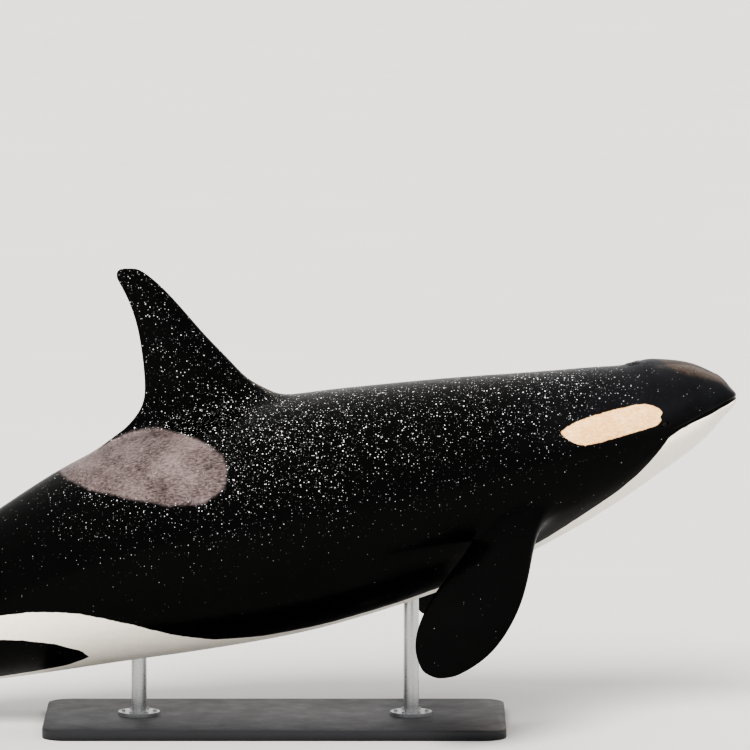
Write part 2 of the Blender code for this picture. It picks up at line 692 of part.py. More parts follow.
def parted(points, faces):
    """One node's share of the body, closed by a wall at each cut, half a gap back from it.

    Every loop is alike on its two sides, so the wall is a ladder of rungs from side to side,
    beginning at the point furthest forward."""
    points = [p.copy() for p in points]
    faces = list(faces)
    for loop in open_loops(faces):
        front = max(range(len(loop)), key=lambda n: points[loop[n]][0])
        loop = loop[front:] + loop[:front]
        facing = sum(np.cross(points[b], points[a]) for a, b in zip(loop, loop[1:] + loop[:1]))
        for v in loop:
            points[v] = points[v] - facing / np.linalg.norm(facing) * GAP / 2
        faces += [(loop[1], loop[0], loop[-1])]
        last = len(loop) // 2 - 1
        faces += [(loop[n + 1], loop[n], loop[-n], loop[-n - 1]) for n in range(1, last)]
        faces += [(loop[last + 1], loop[last], loop[-last])]
    return points, faces


def node_mesh(name, points, faces):
    used = sorted({v for f in faces for v in f})
    index = {v: n for n, v in enumerate(used)}
    mesh = bpy.data.meshes.new(name)
    mesh.from_pydata([tuple(points[v]) for v in used], [], [tuple(index[v] for v in f) for f in faces])
    mesh.update()
    return mesh


def build_flesh():
    points, faces, nodes = smooth_body(build_cage())
    made = {}
    for name in FLESH_NODES:
        own = [f for f, n in zip(faces, nodes) if n == name]
        moved, closed = parted(points, own)
        key = name.split("_left")[0].split("_right")[0]
        made[name] = new_object(name, node_mesh(name, moved, closed), key)
    return made


def helper(name, mesh):
    obj = bpy.data.objects.new(name, mesh)
    bpy.context.scene.collection.objects.link(obj)
    obj.hide_render = True
    obj.display_type = "WIRE"
    return obj


def ball_mesh(name, radius, segments, rings):
    shape = bmesh.new()
    bmesh.ops.create_uvsphere(shape, u_segments=segments, v_segments=rings, radius=radius)
    mesh = bpy.data.meshes.new(name)
    shape.to_mesh(mesh)
    shape.free()
    return mesh


def tube_mesh(name, centres, radius, sides, closed, upright):
    """A tube round a line of points, closed on itself or with flat ends."""
    count = len(centres)
    points, faces = [], []
    for k, centre in enumerate(centres):
        ahead = centres[(k + 1) % count] if closed or k < count - 1 else centre
        behind = centres[k - 1] if closed or k else centre
        across = (ahead - behind).cross(upright).normalized()
        rise = across.cross(ahead - behind).normalized()
        for n in range(sides):
            angle = 2 * math.pi * (n + 0.5) / sides
            points.append(centre + (across * math.cos(angle) + rise * math.sin(angle)) * radius)
    for k in range(count if closed else count - 1):
        a, b = k * sides, (k + 1) % count * sides
        faces += [(a + n, a + (n + 1) % sides, b + (n + 1) % sides, b + n) for n in range(sides)]
    if not closed:
        faces += [tuple(range(sides))[::-1], tuple(range((count - 1) * sides, count * sides))]
    mesh = bpy.data.meshes.new(name)
    mesh.from_pydata(points, [], faces)
    shape = bmesh.new()
    shape.from_mesh(mesh)
    bmesh.ops.recalc_face_normals(shape, faces=shape.faces)
    shape.to_mesh(mesh)
    shape.free()
    return mesh


def surface_frame(s, angle, side):
    """Point on the skin, outward normal and forward direction, as Vectors."""
    def at(station, turn):
        width, height = section_point(station, turn)
        return Vector(placed(station, side * width, height))

    small, turn = 0.01, 2.0
    along = (at(s - small, angle) - at(s + small, angle)).normalized()
    round_body = at(s, angle + turn) - at(s, angle - turn)
    normal = along.cross(round_body).normalized() * -side
    centre = Vector(placed(s, 0, 0))
    if normal.dot(at(s, angle) - centre) < 0:
        normal.negate()
    return at(s, angle), normal, along


def eye_angle():
    """Angle of the skin at the eye's station and height."""
    angles = np.linspace(60, 130, 701)
    heights = [section_point(EYE_STATION, a)[1] for a in angles]
    return float(angles[int(np.argmin(np.abs(np.array(heights) - EYE_HEIGHT)))])


def cut_and_join(target, joined, cutters):
    """Fuses pieces to a node, cuts others from it, and applies both."""
    for operation, pieces in (("UNION", joined), ("DIFFERENCE", cutters)):
        if not pieces:
            continue
        group = bpy.data.collections.new(operation.lower())
        for piece in pieces:
            group.objects.link(piece)
        step = target.modifiers.new(operation.lower(), "BOOLEAN")
        step.operation, step.operand_type, step.collection = operation, "COLLECTION", group
        mesh = evaluated_mesh(target)
        target.modifiers.clear()
        target.data = mesh
        for piece in pieces:
            bpy.data.objects.remove(piece)
        bpy.data.collections.remove(group)


def build_eyes(head):
    """Eyeballs in sockets, with the lids fused to the head round them."""
    joined, cutters = [], []
    for side, name in ((1, "left"), (-1, "right")):
        place, normal, along = surface_frame(EYE_STATION, eye_angle(), side)
        centre = place - normal * EYE_SINK
        across = normal.cross(along)
        ball = new_object(f"eye_{name}", ball_mesh(f"eye_{name}", EYE_RADIUS, *EYE_FACES), "eye")
        ball.location = centre
        lid_centres = []
        for k in range(EYE_FACES[0]):
            angle = 2 * math.pi * k / EYE_FACES[0]
            reach = along * math.cos(angle) * LID_HALF_LENGTH + across * math.sin(angle) * LID_HALF_HEIGHT
            lid_centres.append(place + reach + normal * (LID_RISE * math.sin(angle) ** 2 - LID_SINK))
        lid = tube_mesh(f"lid_{name}", lid_centres, LID_RADIUS, TUBE_SIDES, True, normal)
        joined.append(helper(f"lid_{name}", lid))
        socket = helper(f"socket_{name}", ball_mesh(f"socket_{name}", EYE_RADIUS + GAP * 1.5, *EYE_FACES))
        socket.location = centre
        cutters.append(socket)
    cutters.append(blowhole_cutter())
    bpy.context.view_layer.update()
    cut_and_join(head, joined, cutters)


def blowhole_cutter():
    """A crescent groove across the crown, its ends pointing forward."""
    place, normal, along = surface_frame(BLOWHOLE_STATION, 0.0, 1)
    centres = []
    for k in range(BLOWHOLE_STEPS + 1):
        angle = math.radians(BLOWHOLE_SWEEP * (k / BLOWHOLE_STEPS - 0.5))
        ahead = BLOWHOLE_RADIUS * (1 - math.cos(angle)) * BLOWHOLE_BOW
        side = BLOWHOLE_RADIUS * math.sin(angle) + BLOWHOLE_OFFSET
        width_share = abs(side) / float(section_at(BLOWHOLE_STATION)[2])
        drop = (1 - math.sqrt(1 - width_share**2)) * CROWN_DROP
        centres.append(place + along * ahead + Vector((0, side, 0)) - normal * drop)
    return helper("blowhole", tube_mesh("blowhole", centres, BLOWHOLE_WIDTH, TUBE_SIDES, False, normal))


def inflated(obj):
    """A hidden copy of a node, grown by the gap."""
    mesh = obj.data.copy()
    normals = [v.normal.copy() for v in mesh.vertices]
    for vertex, normal in zip(mesh.vertices, normals):
        vertex.co += normal * GAP * 1.1
    return helper(f"grown_{obj.name}", mesh)


def build_base():
    length, width, height = BASE_SIZE
    shape = bmesh.new()
    bmesh.ops.create_cube(shape, size=1, matrix=Matrix.Diagonal((length, width, height, 1)))
    upright = [e for e in shape.edges if abs(e.verts[0].co.z - e.verts[1].co.z) > height / 2]
    bmesh.ops.bevel(
        shape, geom=upright, offset=BASE_CORNER, segments=BASE_CORNER_FACES, affect="EDGES", profile=0.5
    )
    rim = [e for e in shape.edges if min(v.co.z for v in e.verts) > height / 2 - 1e-6]
    bmesh.ops.bevel(shape, geom=rim, offset=BASE_EDGE, segments=2, affect="EDGES", profile=0.5)
    mesh = bpy.data.meshes.new("stand_base")
    shape.to_mesh(mesh)
    shape.free()
    base = new_object("stand_base", mesh, "stand_base")
    base.location = (BASE_CENTRE, 0, height / 2)


def build_stand(made):
    """A flat base, and two rods with flanges, each rod's top cut to the body above it."""
    build_base()
    floor = BASE_SIZE[2]
    for name, x in ROD_PLACES.items():
        ring = turned_mesh(
            f"stand_flange_{name}", ROD_RADIUS + GAP, FLANGE_RADIUS, floor + GAP, floor + FLANGE_HEIGHT
        )
        new_object(f"stand_flange_{name}", ring, "stand_flange").location = (x, 0, 0)
        bar = turned_mesh(f"stand_rod_{name}", 0, ROD_RADIUS, floor + GAP, SNOUT_HEIGHT)
        rod = new_object(f"stand_rod_{name}", bar, "stand_rod")
        rod.location = (x, 0, 0)
        grown = inflated(made["thorax" if name == "front" else "loin"])
        bpy.context.view_layer.update()
        cut_and_join(rod, [], [grown])
        keep_lowest(rod)


def turned_mesh(name, inner, outer, low, high):
    """A disc or ring of given inner and outer radius between two heights."""
    shape = bmesh.new()
    rings = []
    profile = [(outer, low), (outer, high)]
    if inner:
        profile += [(inner, high), (inner, low)]
    for radius, z in profile:
        angles = [2 * math.pi * k / ROD_SIDES for k in range(ROD_SIDES)]
        rings.append([shape.verts.new((radius * math.cos(a), radius * math.sin(a), z)) for a in angles])
    for k in range(len(rings) if inner else 1):
        low_ring, high_ring = rings[k], rings[(k + 1) % len(rings)]
        for n in range(ROD_SIDES):
            after = (n + 1) % ROD_SIDES
            shape.faces.new((low_ring[n], low_ring[after], high_ring[after], high_ring[n]))
    if not inner:
        shape.faces.new(rings[0][::-1])
        shape.faces.new(rings[1])
    bmesh.ops.recalc_face_normals(shape, faces=shape.faces)
    mesh = bpy.data.meshes.new(name)
    shape.to_mesh(mesh)
    shape.free()
    return mesh


def keep_lowest(obj):
    """Keeps the piece of a cut rod that stands on the base."""
    shape = bmesh.new()
    shape.from_mesh(obj.data)
    start = min(shape.verts, key=lambda v: v.co.z)
    kept, waiting = {start}, [start]
    while waiting:
        for edge in waiting.pop().link_edges:
            for vertex in edge.verts:
                if vertex not in kept:
                    kept.add(vertex)
                    waiting.append(vertex)
    bmesh.ops.delete(shape, geom=[v for v in shape.verts if v not in kept], context="VERTS")
    shape.to_mesh(obj.data)
    shape.free()


def centre_on_floor():
    """Moves everything so that the origin lies on the floor under the middle of the model."""
    bpy.context.view_layer.update()
    corners = []
    for obj in bpy.context.scene.objects:
        if not obj.hide_render:
            corners += [obj.matrix_world @ v.co for v in obj.data.vertices]
    middle = (min(c.x for c in corners) + max(c.x for c in corners)) / 2
    for obj in bpy.context.scene.objects:
        obj.location.x -= middle


def main():
    for obj in list(bpy.data.objects):
        bpy.data.objects.remove(obj)
    made = build_flesh()
    build_stand(made)
    build_eyes(made["head"])
    centre_on_floor()
    for obj in bpy.context.scene.objects:
        obj.data.shade_smooth()
        obj.data.set_sharp_from_angle(angle=math.radians(CREASE_ANGLE))


main()
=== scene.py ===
import math

import bmesh
import bpy
import numpy as np
from mathutils import Matrix, Vector


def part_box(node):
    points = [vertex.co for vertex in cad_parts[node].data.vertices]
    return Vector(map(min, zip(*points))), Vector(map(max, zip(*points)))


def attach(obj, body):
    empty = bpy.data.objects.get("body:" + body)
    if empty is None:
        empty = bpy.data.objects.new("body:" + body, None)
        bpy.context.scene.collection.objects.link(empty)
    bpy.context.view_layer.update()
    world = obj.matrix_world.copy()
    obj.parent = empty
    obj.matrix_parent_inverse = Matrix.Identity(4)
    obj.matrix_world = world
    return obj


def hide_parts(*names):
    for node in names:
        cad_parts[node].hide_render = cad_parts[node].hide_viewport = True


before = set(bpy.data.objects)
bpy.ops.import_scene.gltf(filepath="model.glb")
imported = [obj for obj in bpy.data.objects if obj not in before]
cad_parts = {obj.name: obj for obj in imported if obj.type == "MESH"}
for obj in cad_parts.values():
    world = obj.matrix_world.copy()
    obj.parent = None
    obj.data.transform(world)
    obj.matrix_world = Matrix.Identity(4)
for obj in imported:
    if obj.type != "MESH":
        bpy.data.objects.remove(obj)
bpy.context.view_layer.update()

scene = bpy.context.scene
print("stage: frame loaded")

# The stand's front rod is turned about its own line, so its box says how far along x the model was moved.
stand = {
    "frontRod": -1.62, "rearRod": -2.98, "baseHeight": 0.05, "flangeHeight": 0.018,
    "boltCircle": 0.078, "boltCount": 6, "boltRadius": 0.0095, "boltHeight": 0.0085, "socketRadius": 0.0048,
    "barSides": 96, "sharpAngle": 35.0,
}
rodLow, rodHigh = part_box("stand_rod_front")
shift = (rodLow.x + rodHigh.x) / 2 - stand["frontRod"]


# Small helpers

def hexColour(code):  # sRGB hex to the linear colour that a shader wants
    parts = [int(code[k : k + 2], 16) / 255 for k in (1, 3, 5)]
    linear = [p / 12.92 if p <= 0.04045 else ((p + 0.055) / 1.055) ** 2.4 for p in parts]
    return (*linear, 1.0)


def addNode(tree, kind, values=None, **settings):  # one node, its settings, and its sockets set or linked
    made = tree.nodes.new(kind)
    for key, value in settings.items():
        setattr(made, key, value)
    for key, value in (values or {}).items():
        if isinstance(value, bpy.types.NodeSocket):
            tree.links.new(value, made.inputs[key])
        else:
            made.inputs[key].default_value = value
    return made


def newMaterial(name):
    made = bpy.data.materials.new(name)
    made.use_nodes = True
    made.node_tree.nodes.clear()
    return made, made.node_tree


def newObject(name, mesh, material):
    made = bpy.data.objects.new(name, mesh)
    scene.collection.objects.link(made)
    mesh.materials.clear()
    mesh.materials.append(material)
    mesh.polygons.foreach_set("material_index", [0] * len(mesh.polygons))
    mesh.shade_smooth()
    return made


def evaluatedMesh(obj):
    graph = bpy.context.evaluated_depsgraph_get()
    return bpy.data.meshes.new_from_object(obj.evaluated_get(graph))


def smoothCurve(rows):  # natural cubic spline through rows of (place, value, ...)
    rows = np.array(rows, float)
    places, values = rows[:, 0], rows[:, 1:]
    count = len(places)
    steps = np.diff(places)
    system, right = np.eye(count), np.zeros_like(values)
    for k in range(1, count - 1):
        system[k, k - 1 : k + 2] = steps[k - 1], 2 * (steps[k - 1] + steps[k]), steps[k]
        right[k] = 6 * ((values[k + 1] - values[k]) / steps[k] - (values[k] - values[k - 1]) / steps[k - 1])
    bend = np.linalg.solve(system, right)

    def value(place):
        place = np.asarray(place, float)
        k = np.clip(np.searchsorted(places, place) - 1, 0, count - 2)
        h, a, b = steps[k][..., None], (places[k + 1] - place)[..., None], (place - places[k])[..., None]
        cubic = (bend[k] * a**3 + bend[k + 1] * b**3) / (6 * h)
        return cubic + (values[k] / h - bend[k] * h / 6) * a + (values[k + 1] / h - bend[k + 1] * h / 6) * b

    return value


def ease(x):
    x = np.clip(x, 0.0, 1.0)
    return x * x * (3 - 2 * x)


def plateau(s, first, last, fade):
    return ease((s - first) / fade + 1) * ease((last - s) / fade + 1)


def taper(s, first, last):
    share = min(max((s - first) / (last - first), 0.0), 1.0)
    return 0.55 + 0.45 * math.sin(math.pi * share) ** 0.6


# The body, in metres from the snout's tip along the spine
body = {
    "length": 5.80, "snoutHeight": 1.66, "axisStep": 0.01, "smoothLevels": 3,
    # nose up, in degrees, at places along the spine
    "pitch": [(0, 13), (1.2, 13), (2.1, 13), (2.8, 17.6), (3.4, 22), (4.1, 19), (4.8, 10.5), (5.3, 5), (5.8, 3)],
    # place, back, belly, half width, height of the widest line, squareness above and below it
    "sections": [
        (0.09, 0.137, -0.092, 0.118, 0.010, 2.05, 2.05),
        (0.17, 0.197, -0.150, 0.176, 0.015, 2.05, 2.10),
        (0.25, 0.235, -0.197, 0.217, 0.015, 2.05, 2.15),
        (0.33, 0.261, -0.234, 0.249, 0.010, 2.05, 2.15),
        (0.42, 0.277, -0.272, 0.280, 0.000, 2.05, 2.15),
        (0.49, 0.273, -0.300, 0.302, -0.012, 2.05, 2.15),
        (0.60, 0.286, -0.346, 0.330, -0.030, 2.05, 2.15),
        (0.78, 0.314, -0.412, 0.373, -0.050, 2.05, 2.10),
        (1.00, 0.347, -0.481, 0.423, -0.070, 2.05, 2.10),
        (1.30, 0.394, -0.556, 0.480, -0.085, 2.05, 2.10),
        (1.65, 0.440, -0.618, 0.530, -0.090, 2.05, 2.10),
        (2.00, 0.480, -0.655, 0.556, -0.090, 2.05, 2.10),
        (2.35, 0.510, -0.668, 0.560, -0.085, 2.00, 2.10),
        (2.70, 0.520, -0.645, 0.540, -0.070, 1.95, 2.10),
        (3.05, 0.508, -0.595, 0.495, -0.050, 1.90, 2.05),
        (3.40, 0.462, -0.520, 0.428, -0.035, 1.85, 2.00),
        (3.80, 0.380, -0.425, 0.340, -0.020, 1.80, 1.90),
        (4.25, 0.295, -0.318, 0.240, -0.010, 1.72, 1.78),
        (4.70, 0.222, -0.230, 0.155, -0.004, 1.64, 1.66),
        (5.05, 0.178, -0.178, 0.110, 0.000, 1.60, 1.60),
        (5.28, 0.134, -0.128, 0.102, 0.002, 1.65, 1.65),
        (5.41, 0.094, -0.086, 0.104, 0.003, 1.75, 1.75),
        (5.54, 0.064, -0.055, 0.104, 0.003, 1.85, 1.85),
        (5.665, 0.038, -0.030, 0.100, 0.003, 1.90, 1.90),
        (5.79, 0.013, -0.007, 0.090, 0.003, 2.00, 2.00),
        (5.8165, 0.009, -0.003, 0.055, 0.003, 2.00, 2.00),
    ],
    # rings of the cage from the snout to the flipper, to the fin, to the flukes, and behind them
    "ringsHead": [0.09, 0.14, 0.19, 0.24, 0.29, 0.345, 0.40, 0.465, 0.545, 0.64, 0.76, 0.90],
    "ringsChest": [1.62, 1.82, 2.02],
    "ringsTail": [3.25, 3.42, 3.66, 3.95, 4.25, 4.55, 4.83, 5.08],
    "ringsEnd": [5.8165],
    "rows": 12,  # on one side, from the crown to the keel
}
fin = {
    "root": (2.20, 3.12), "steps": (0.0, 0.16, 0.38, 0.62, 0.85, 1.0), "spread": 13.5,
    # share of the chord from the front edge, and share of the half thickness
    "profile": ((0.035, 0.48), (0.16, 0.90), (0.38, 1.0), (0.62, 0.80), (0.84, 0.44), (0.965, 0.18)),
    # front and rear edge as metres behind the snout and above it, and half the thickness, from the root up
    "chords": [
        ((2.345, 0.034), (3.090, -0.201), 0.084), ((2.440, 0.090), (3.034, -0.156), 0.065),
        ((2.531, 0.182), (2.962, -0.056), 0.053), ((2.640, 0.295), (2.947, 0.085), 0.044),
        ((2.742, 0.412), (2.968, 0.270), 0.035), ((2.842, 0.522), (3.000, 0.405), 0.026),
        ((2.925, 0.596), (3.040, 0.505), 0.018), ((2.978, 0.628), (3.072, 0.566), 0.011),
    ],
    "tip": (3.072, 0.625),
}
sideBlade = {
    "steps": (0.0, 0.25, 0.50, 0.75, 1.0),
    "profile": ((0.045, 0.52), (0.24, 0.97), (0.50, 0.92), (0.77, 0.58), (0.955, 0.24)),
}
flipper = {
    "root": (1.08, 1.44), "rows": (8, 10), "angle": 122.0, "spread": 10.0, "widening": 3.3, "widest": 1.5,
    "length": 0.94,
    "lean": (-0.42, 0.66, -0.62),
    # share of the length, front and rear edge along the body, half the thickness
    "chords": [
        (0.12, 0.168, -0.150, 0.054), (0.25, 0.182, -0.182, 0.043), (0.40, 0.192, -0.228, 0.037),
        (0.55, 0.186, -0.262, 0.031), (0.71, 0.156, -0.272, 0.025), (0.85, 0.096, -0.246, 0.018),
        (0.95, 0.014, -0.192, 0.010),
    ],
    "tip": (1.0, -0.095),
}
fluke = {
    "root": (5.28, 5.79), "rows": (5, 7), "spread": 38.0, "droop": 0.035, "rise": 0.003,
    # between the flukes the back is a low ridge, and the body ends in the notch of their rear edges
    "ridgeShare": 0.85, "rootEdge": 0.10, "notchDepth": 0.055, "notchHalf": 0.090, "endRound": 0.009, "endThin": 0.6,
    # distance from the midline, front and rear edge along the spine, half the thickness
    "chords": [
        (0.150, 5.335, 5.838, 0.034), (0.235, 5.385, 5.876, 0.030), (0.335, 5.455, 5.892, 0.026),
        (0.445, 5.550, 5.898, 0.020), (0.555, 5.658, 5.904, 0.015), (0.650, 5.765, 5.918, 0.010),
        (0.718, 5.856, 5.942, 0.006),
    ],
    "tip": (0.752, 5.950),
}
mouth = {
    "corner": 0.40, "row": 7, "slope": math.tan(math.radians(11.0)), "depth": 0.016,
    "lipSpread": 0.012, "lipRows": (0.0, 1.0, 2.6, 6.4),
    "snout": [(0.090, 0.137), (0.063, 0.114), (0.042, 0.085), (0.027, 0.053), (0.012, 0.024), (-0.006, 0.003)],
    "chin": [(0.000, -0.010), (0.017, -0.035), (0.048, -0.064), (0.090, -0.092)],
    "front": (0.005, -0.0035),
}

sectionAt = smoothCurve(body["sections"])
pitchAt = smoothCurve(body["pitch"])
axisPlaces = np.arange(-0.2, body["length"] + 0.4, body["axisStep"])
axisAngles = np.radians(pitchAt(np.clip(axisPlaces, 0, body["length"]))[:, 0])


def axisLine():  # the bent spine as (x, z), with the snout's tip at (0, snoutHeight)
    steps = np.stack([-np.cos(axisAngles), -np.sin(axisAngles)], 1) * body["axisStep"]
    line = np.vstack([[0, 0], np.cumsum((steps[1:] + steps[:-1]) / 2, axis=0)])
    zero = np.array([np.interp(0, axisPlaces, line[:, k]) for k in (0, 1)])
    return line - zero + [0, body["snoutHeight"]]


axis = axisLine()


def frameAt(s):
    origin = np.array([np.interp(s, axisPlaces, axis[:, 0]), 0, np.interp(s, axisPlaces, axis[:, 1])])
    angle = math.radians(float(pitchAt(min(max(s, 0.0), body["length"]))[0]))
    forward = np.array([math.cos(angle), 0, math.sin(angle)])
    up = np.array([-math.sin(angle), 0, math.cos(angle)])
    return origin, forward, up


def placed(s, side, height):
    origin, _, up = frameAt(s)
    return origin + up * height + np.array([0, side, 0])


def straightened(points):  # the spine place, side and height of world points
    flat = points[:, [0, 2]]
    nearest = np.empty(len(points), int)
    for start in range(0, len(points), 4000):
        part = flat[start : start + 4000, None, :] - axis[None]
        nearest[start : start + 4000] = np.argmin((part**2).sum(2), axis=1)
    offset = flat - axis[nearest]
    turn = axisAngles[nearest]
    s = axisPlaces[nearest] - (offset[:, 0] * np.cos(turn) + offset[:, 1] * np.sin(turn))
    height = -offset[:, 0] * np.sin(turn) + offset[:, 1] * np.cos(turn)
    return s, points[:, 1], height


def sectionPoint(s, angle):  # half width and height of the skin, 0 degrees at the crown, 180 at the keel
    top, belly, half, middle, upperPower, lowerPower = sectionAt(s)
    sine, cosine = math.sin(math.radians(angle)), math.cos(math.radians(angle))
    power = upperPower if cosine >= 0 else lowerPower
    reach = top - middle if cosine >= 0 else middle - belly
    height = middle + math.copysign(reach * abs(cosine) ** (2 / power), cosine)
    return math.copysign(half * abs(sine) ** (2 / power), sine), height


def angleAtHeight(s, height):
    _, belly, _, middle, _, power = sectionAt(s)
    share = min(max((middle - height) / (middle - belly), 0.0), 1.0)
    return 180.0 - math.degrees(math.acos(share ** (power / 2)))


def mouthHeight(s):
    return -0.004 - mouth["slope"] * s


def spaced(anchors):
    rows = sorted(anchors)
    return np.interp(range(body["rows"] + 1), rows, [anchors[r] for r in rows])


def rowAngles(s):  # rows are drawn together at the mouth and at the blade roots
    last = body["rows"]
    even = spaced({0: 0.0, last: 180.0})
    atMouth = min(s, mouth["corner"])
    line = angleAtHeight(atMouth, mouthHeight(atMouth))
    lip = math.degrees(mouth["lipSpread"] / float(sectionAt(s)[2]))
    lips = {mouth["row"] + n: line + mouth["lipRows"][abs(n)] * math.copysign(lip, n) for n in range(-3, 4)}
    withMouth = spaced({0: 0.0, last: 180.0, **lips})
    outside = max(flipper["root"][0] - s, s - flipper["root"][1], 0)
    spread = flipper["spread"] * min(taper(s, *flipper["root"]) + flipper["widening"] * outside, flipper["widest"])
    low, high = flipper["rows"]
    withFlipper = spaced({0: 0.0, low: flipper["angle"] - spread, high: flipper["angle"] + spread, last: 180.0})
    withFin = spaced({0: 0.0, 1: fin["spread"] * taper(s, *fin["root"]), last: 180.0})
    low, high = fluke["rows"]
    withFluke = spaced({0: 0.0, low: 90.0 - fluke["spread"], high: 90.0 + fluke["spread"], last: 180.0})
    angles = even + (withFlipper - even) * ease((flipper["root"][1] + 0.5 - s) / 0.5)
    angles += (withMouth - angles) * ease((mouth["corner"] + 0.30 - s) / 0.30)
    angles += (withFin - even) * plateau(s, *fin["root"], 0.30)
    angles += (withFluke - even) * ease((s - fluke["root"][0]) / 0.40 + 1)
    return angles


def overFlukes(s, row, width, height):  # a ridge above and below that runs out in the flukes
    first, last = fluke["root"]
    middle, share = body["rows"] // 2, (s - first) / (last - first)
    if share <= 0 or row == middle:
        return width, height
    top, belly, half = sectionAt(s)[:3]
    places, thick = zip(*sideBlade["profile"])
    wing = fluke["chords"][0][3] * np.interp(share, (0, *places, 1), (thick[0], *thick, fluke["rootEdge"]))
    crest, wing = (top, fluke["rise"] + wing) if row < middle else (belly, fluke["rise"] - wing)
    turn = min(row, body["rows"] - row) / fluke["rows"][0]
    blend = float(ease(2 * share))
    ridge = wing + (crest - wing) * (1 + math.cos(math.pi * turn)) / 2
    return width + (fluke["ridgeShare"] * half * turn - width) * blend, height + (ridge - height) * blend


def notchShift(s, width):  # how far ahead of its place a point near the notch lies
    share = float(ease((s - fluke["root"][0]) / (fluke["root"][1] - fluke["root"][0])))
    return fluke["notchDepth"] * share * max(1 - (width / fluke["notchHalf"]) ** 2, 0)


def ringShape(s):  # half width and height of each row, with the groove of the mouth
    shape = []
    for k, angle in enumerate(rowAngles(s)):
        width, height = overFlukes(s, k, *sectionPoint(s, angle))
        if k == mouth["row"]:
            width -= mouth["depth"] * float(ease((mouth["corner"] - 0.01 - s) / 0.12))
        shape.append((width, height))
    return shape


# The cage of four-sided faces

cage = {"points": [], "loose": [], "faces": []}


def addPoint(place, loose=False):  # a loose point is only drawn towards, which keeps narrow folds smooth
    cage["points"].append(np.array(place, float))
    cage["loose"].append(loose)
    return len(cage["points"]) - 1


def addBlade(root, loops):  # the root's own points are loose, which rounds the hollow between body and blade
    for corner in root:
        cage["loose"][corner] = True
    last = root
    for loop in loops:
        new = [addPoint(p) for p in loop]
        for k in range(len(new)):
            after = (k + 1) % len(new)
            cage["faces"].append((last[k], last[after], new[after], new[k]))
        last = new
    return last


def bladeLoop(front, rear, thick, profile):
    one = [front + (rear - front) * c + thick * g for c, g in profile]
    other = [front + (rear - front) * c - thick * g for c, g in profile]
    return one + [rear] + other[::-1] + [front]


def closeTip(loop, front, rear, crest, profile):
    count = len(profile)
    top = crest - (front + rear) / 2
    middle = [addPoint(front + (rear - front) * c + top * 4 * c * (1 - c)) for c, _ in profile[1:-1]]
    one, back = loop[:count], loop[count]
    other, ahead = loop[count + 1 : 2 * count + 1][::-1], loop[2 * count + 1]
    line = [ahead, *middle, back]
    for k in range(count - 1):
        cage["faces"].append((one[k], one[k + 1], line[k + 1], line[k]))
        cage["faces"].append((other[k + 1], other[k], line[k], line[k + 1]))


def closeSnout(ring, s0):
    rows = body["rows"]
    upper, chin = np.array(mouth["snout"]), np.array(mouth["chin"])
    angles = rowAngles(s0)
    columns = []
    for k in range(1, rows):
        if k < mouth["row"]:
            share = k / (mouth["row"] - 1) * (len(upper) - 1)
            s, h = (np.interp(share, range(len(upper)), upper[:, n]) for n in (0, 1))
        elif k == mouth["row"]:
            s, h = mouth["front"]
        else:
            share = (k - mouth["row"] - 1) / (rows - mouth["row"] - 1) * (len(chin) - 1)
            s, h = (np.interp(share, range(len(chin)), chin[:, n]) for n in (0, 1))
        width, height = sectionPoint(s0, angles[k])
        if k == mouth["row"]:
            width -= mouth["depth"]
        between = []
        for share in (0.62, 0.0, -0.62):
            blend = 1 - math.sqrt(1 - share**2)
            place = placed(s + (s0 - s) * blend, share * width, h + (height - h) * blend)
            between.append(addPoint(place, abs(k - mouth["row"]) < 2))
        columns.append((ring[k], *between, ring[2 * rows - k]))
    for one, two in zip(columns, columns[1:]):
        for c in range(4):
            cage["faces"].append((one[c], one[c + 1], two[c + 1], two[c]))
    crown, keel, first, last = ring[0], ring[rows], columns[0], columns[-1]
    cage["faces"] += [(crown, first[2], first[1], first[0]), (crown, first[4], first[3], first[2])]
    cage["faces"] += [(keel, last[0], last[1], last[2]), (keel, last[2], last[3], last[4])]


def closeEnd(ring, s0):
    rows = body["rows"]
    middle = []
    for k, (_, height) in enumerate(ringShape(s0)[1:-1]):
        s = s0 - notchShift(s0, 0) + fluke["endRound"] * math.sin(math.pi * (k + 1) / rows)
        middle.append(addPoint(placed(s, 0, fluke["rise"] + (height - fluke["rise"]) * fluke["endThin"])))
    lines = [(ring[k], middle[k - 1], ring[2 * rows - k]) for k in range(1, rows)]
    for one, two in zip(lines, lines[1:]):
        for c in range(2):
            cage["faces"].append((one[c], two[c], two[c + 1], one[c + 1]))
    cage["faces"].append((ring[0], *lines[0]))
    cage["faces"].append((ring[rows], *lines[-1][::-1]))


def sideRoot(ring, first, rows, side):
    def at(i, row):
        return ring[i][row if side > 0 else 2 * body["rows"] - row]

    span = range(first, first + len(sideBlade["steps"]))
    middle = (rows[0] + rows[1]) // 2
    upper, lower = [at(i, rows[0]) for i in span], [at(i, rows[1]) for i in span]
    return upper + [at(span[-1], middle)] + lower[::-1] + [at(first, middle)]


def addFin(ring, first):
    last = first + len(fin["steps"]) - 1
    left = [ring[i][1] for i in range(first, last + 1)]
    right = [ring[i][2 * body["rows"] - 1] for i in range(first, last + 1)]
    loops = []
    for front, rear, half in fin["chords"]:
        front = np.array([-front[0], 0, body["snoutHeight"] + front[1]])
        rear = np.array([-rear[0], 0, body["snoutHeight"] + rear[1]])
        loops.append(bladeLoop(front, rear, np.array([0, half, 0]), fin["profile"]))
    top = addBlade([*left, ring[last][0], *right[::-1], ring[first][0]], loops)
    crest = np.array([-fin["tip"][0], 0, body["snoutHeight"] + fin["tip"][1]])
    closeTip(top, front, rear, crest, fin["profile"])


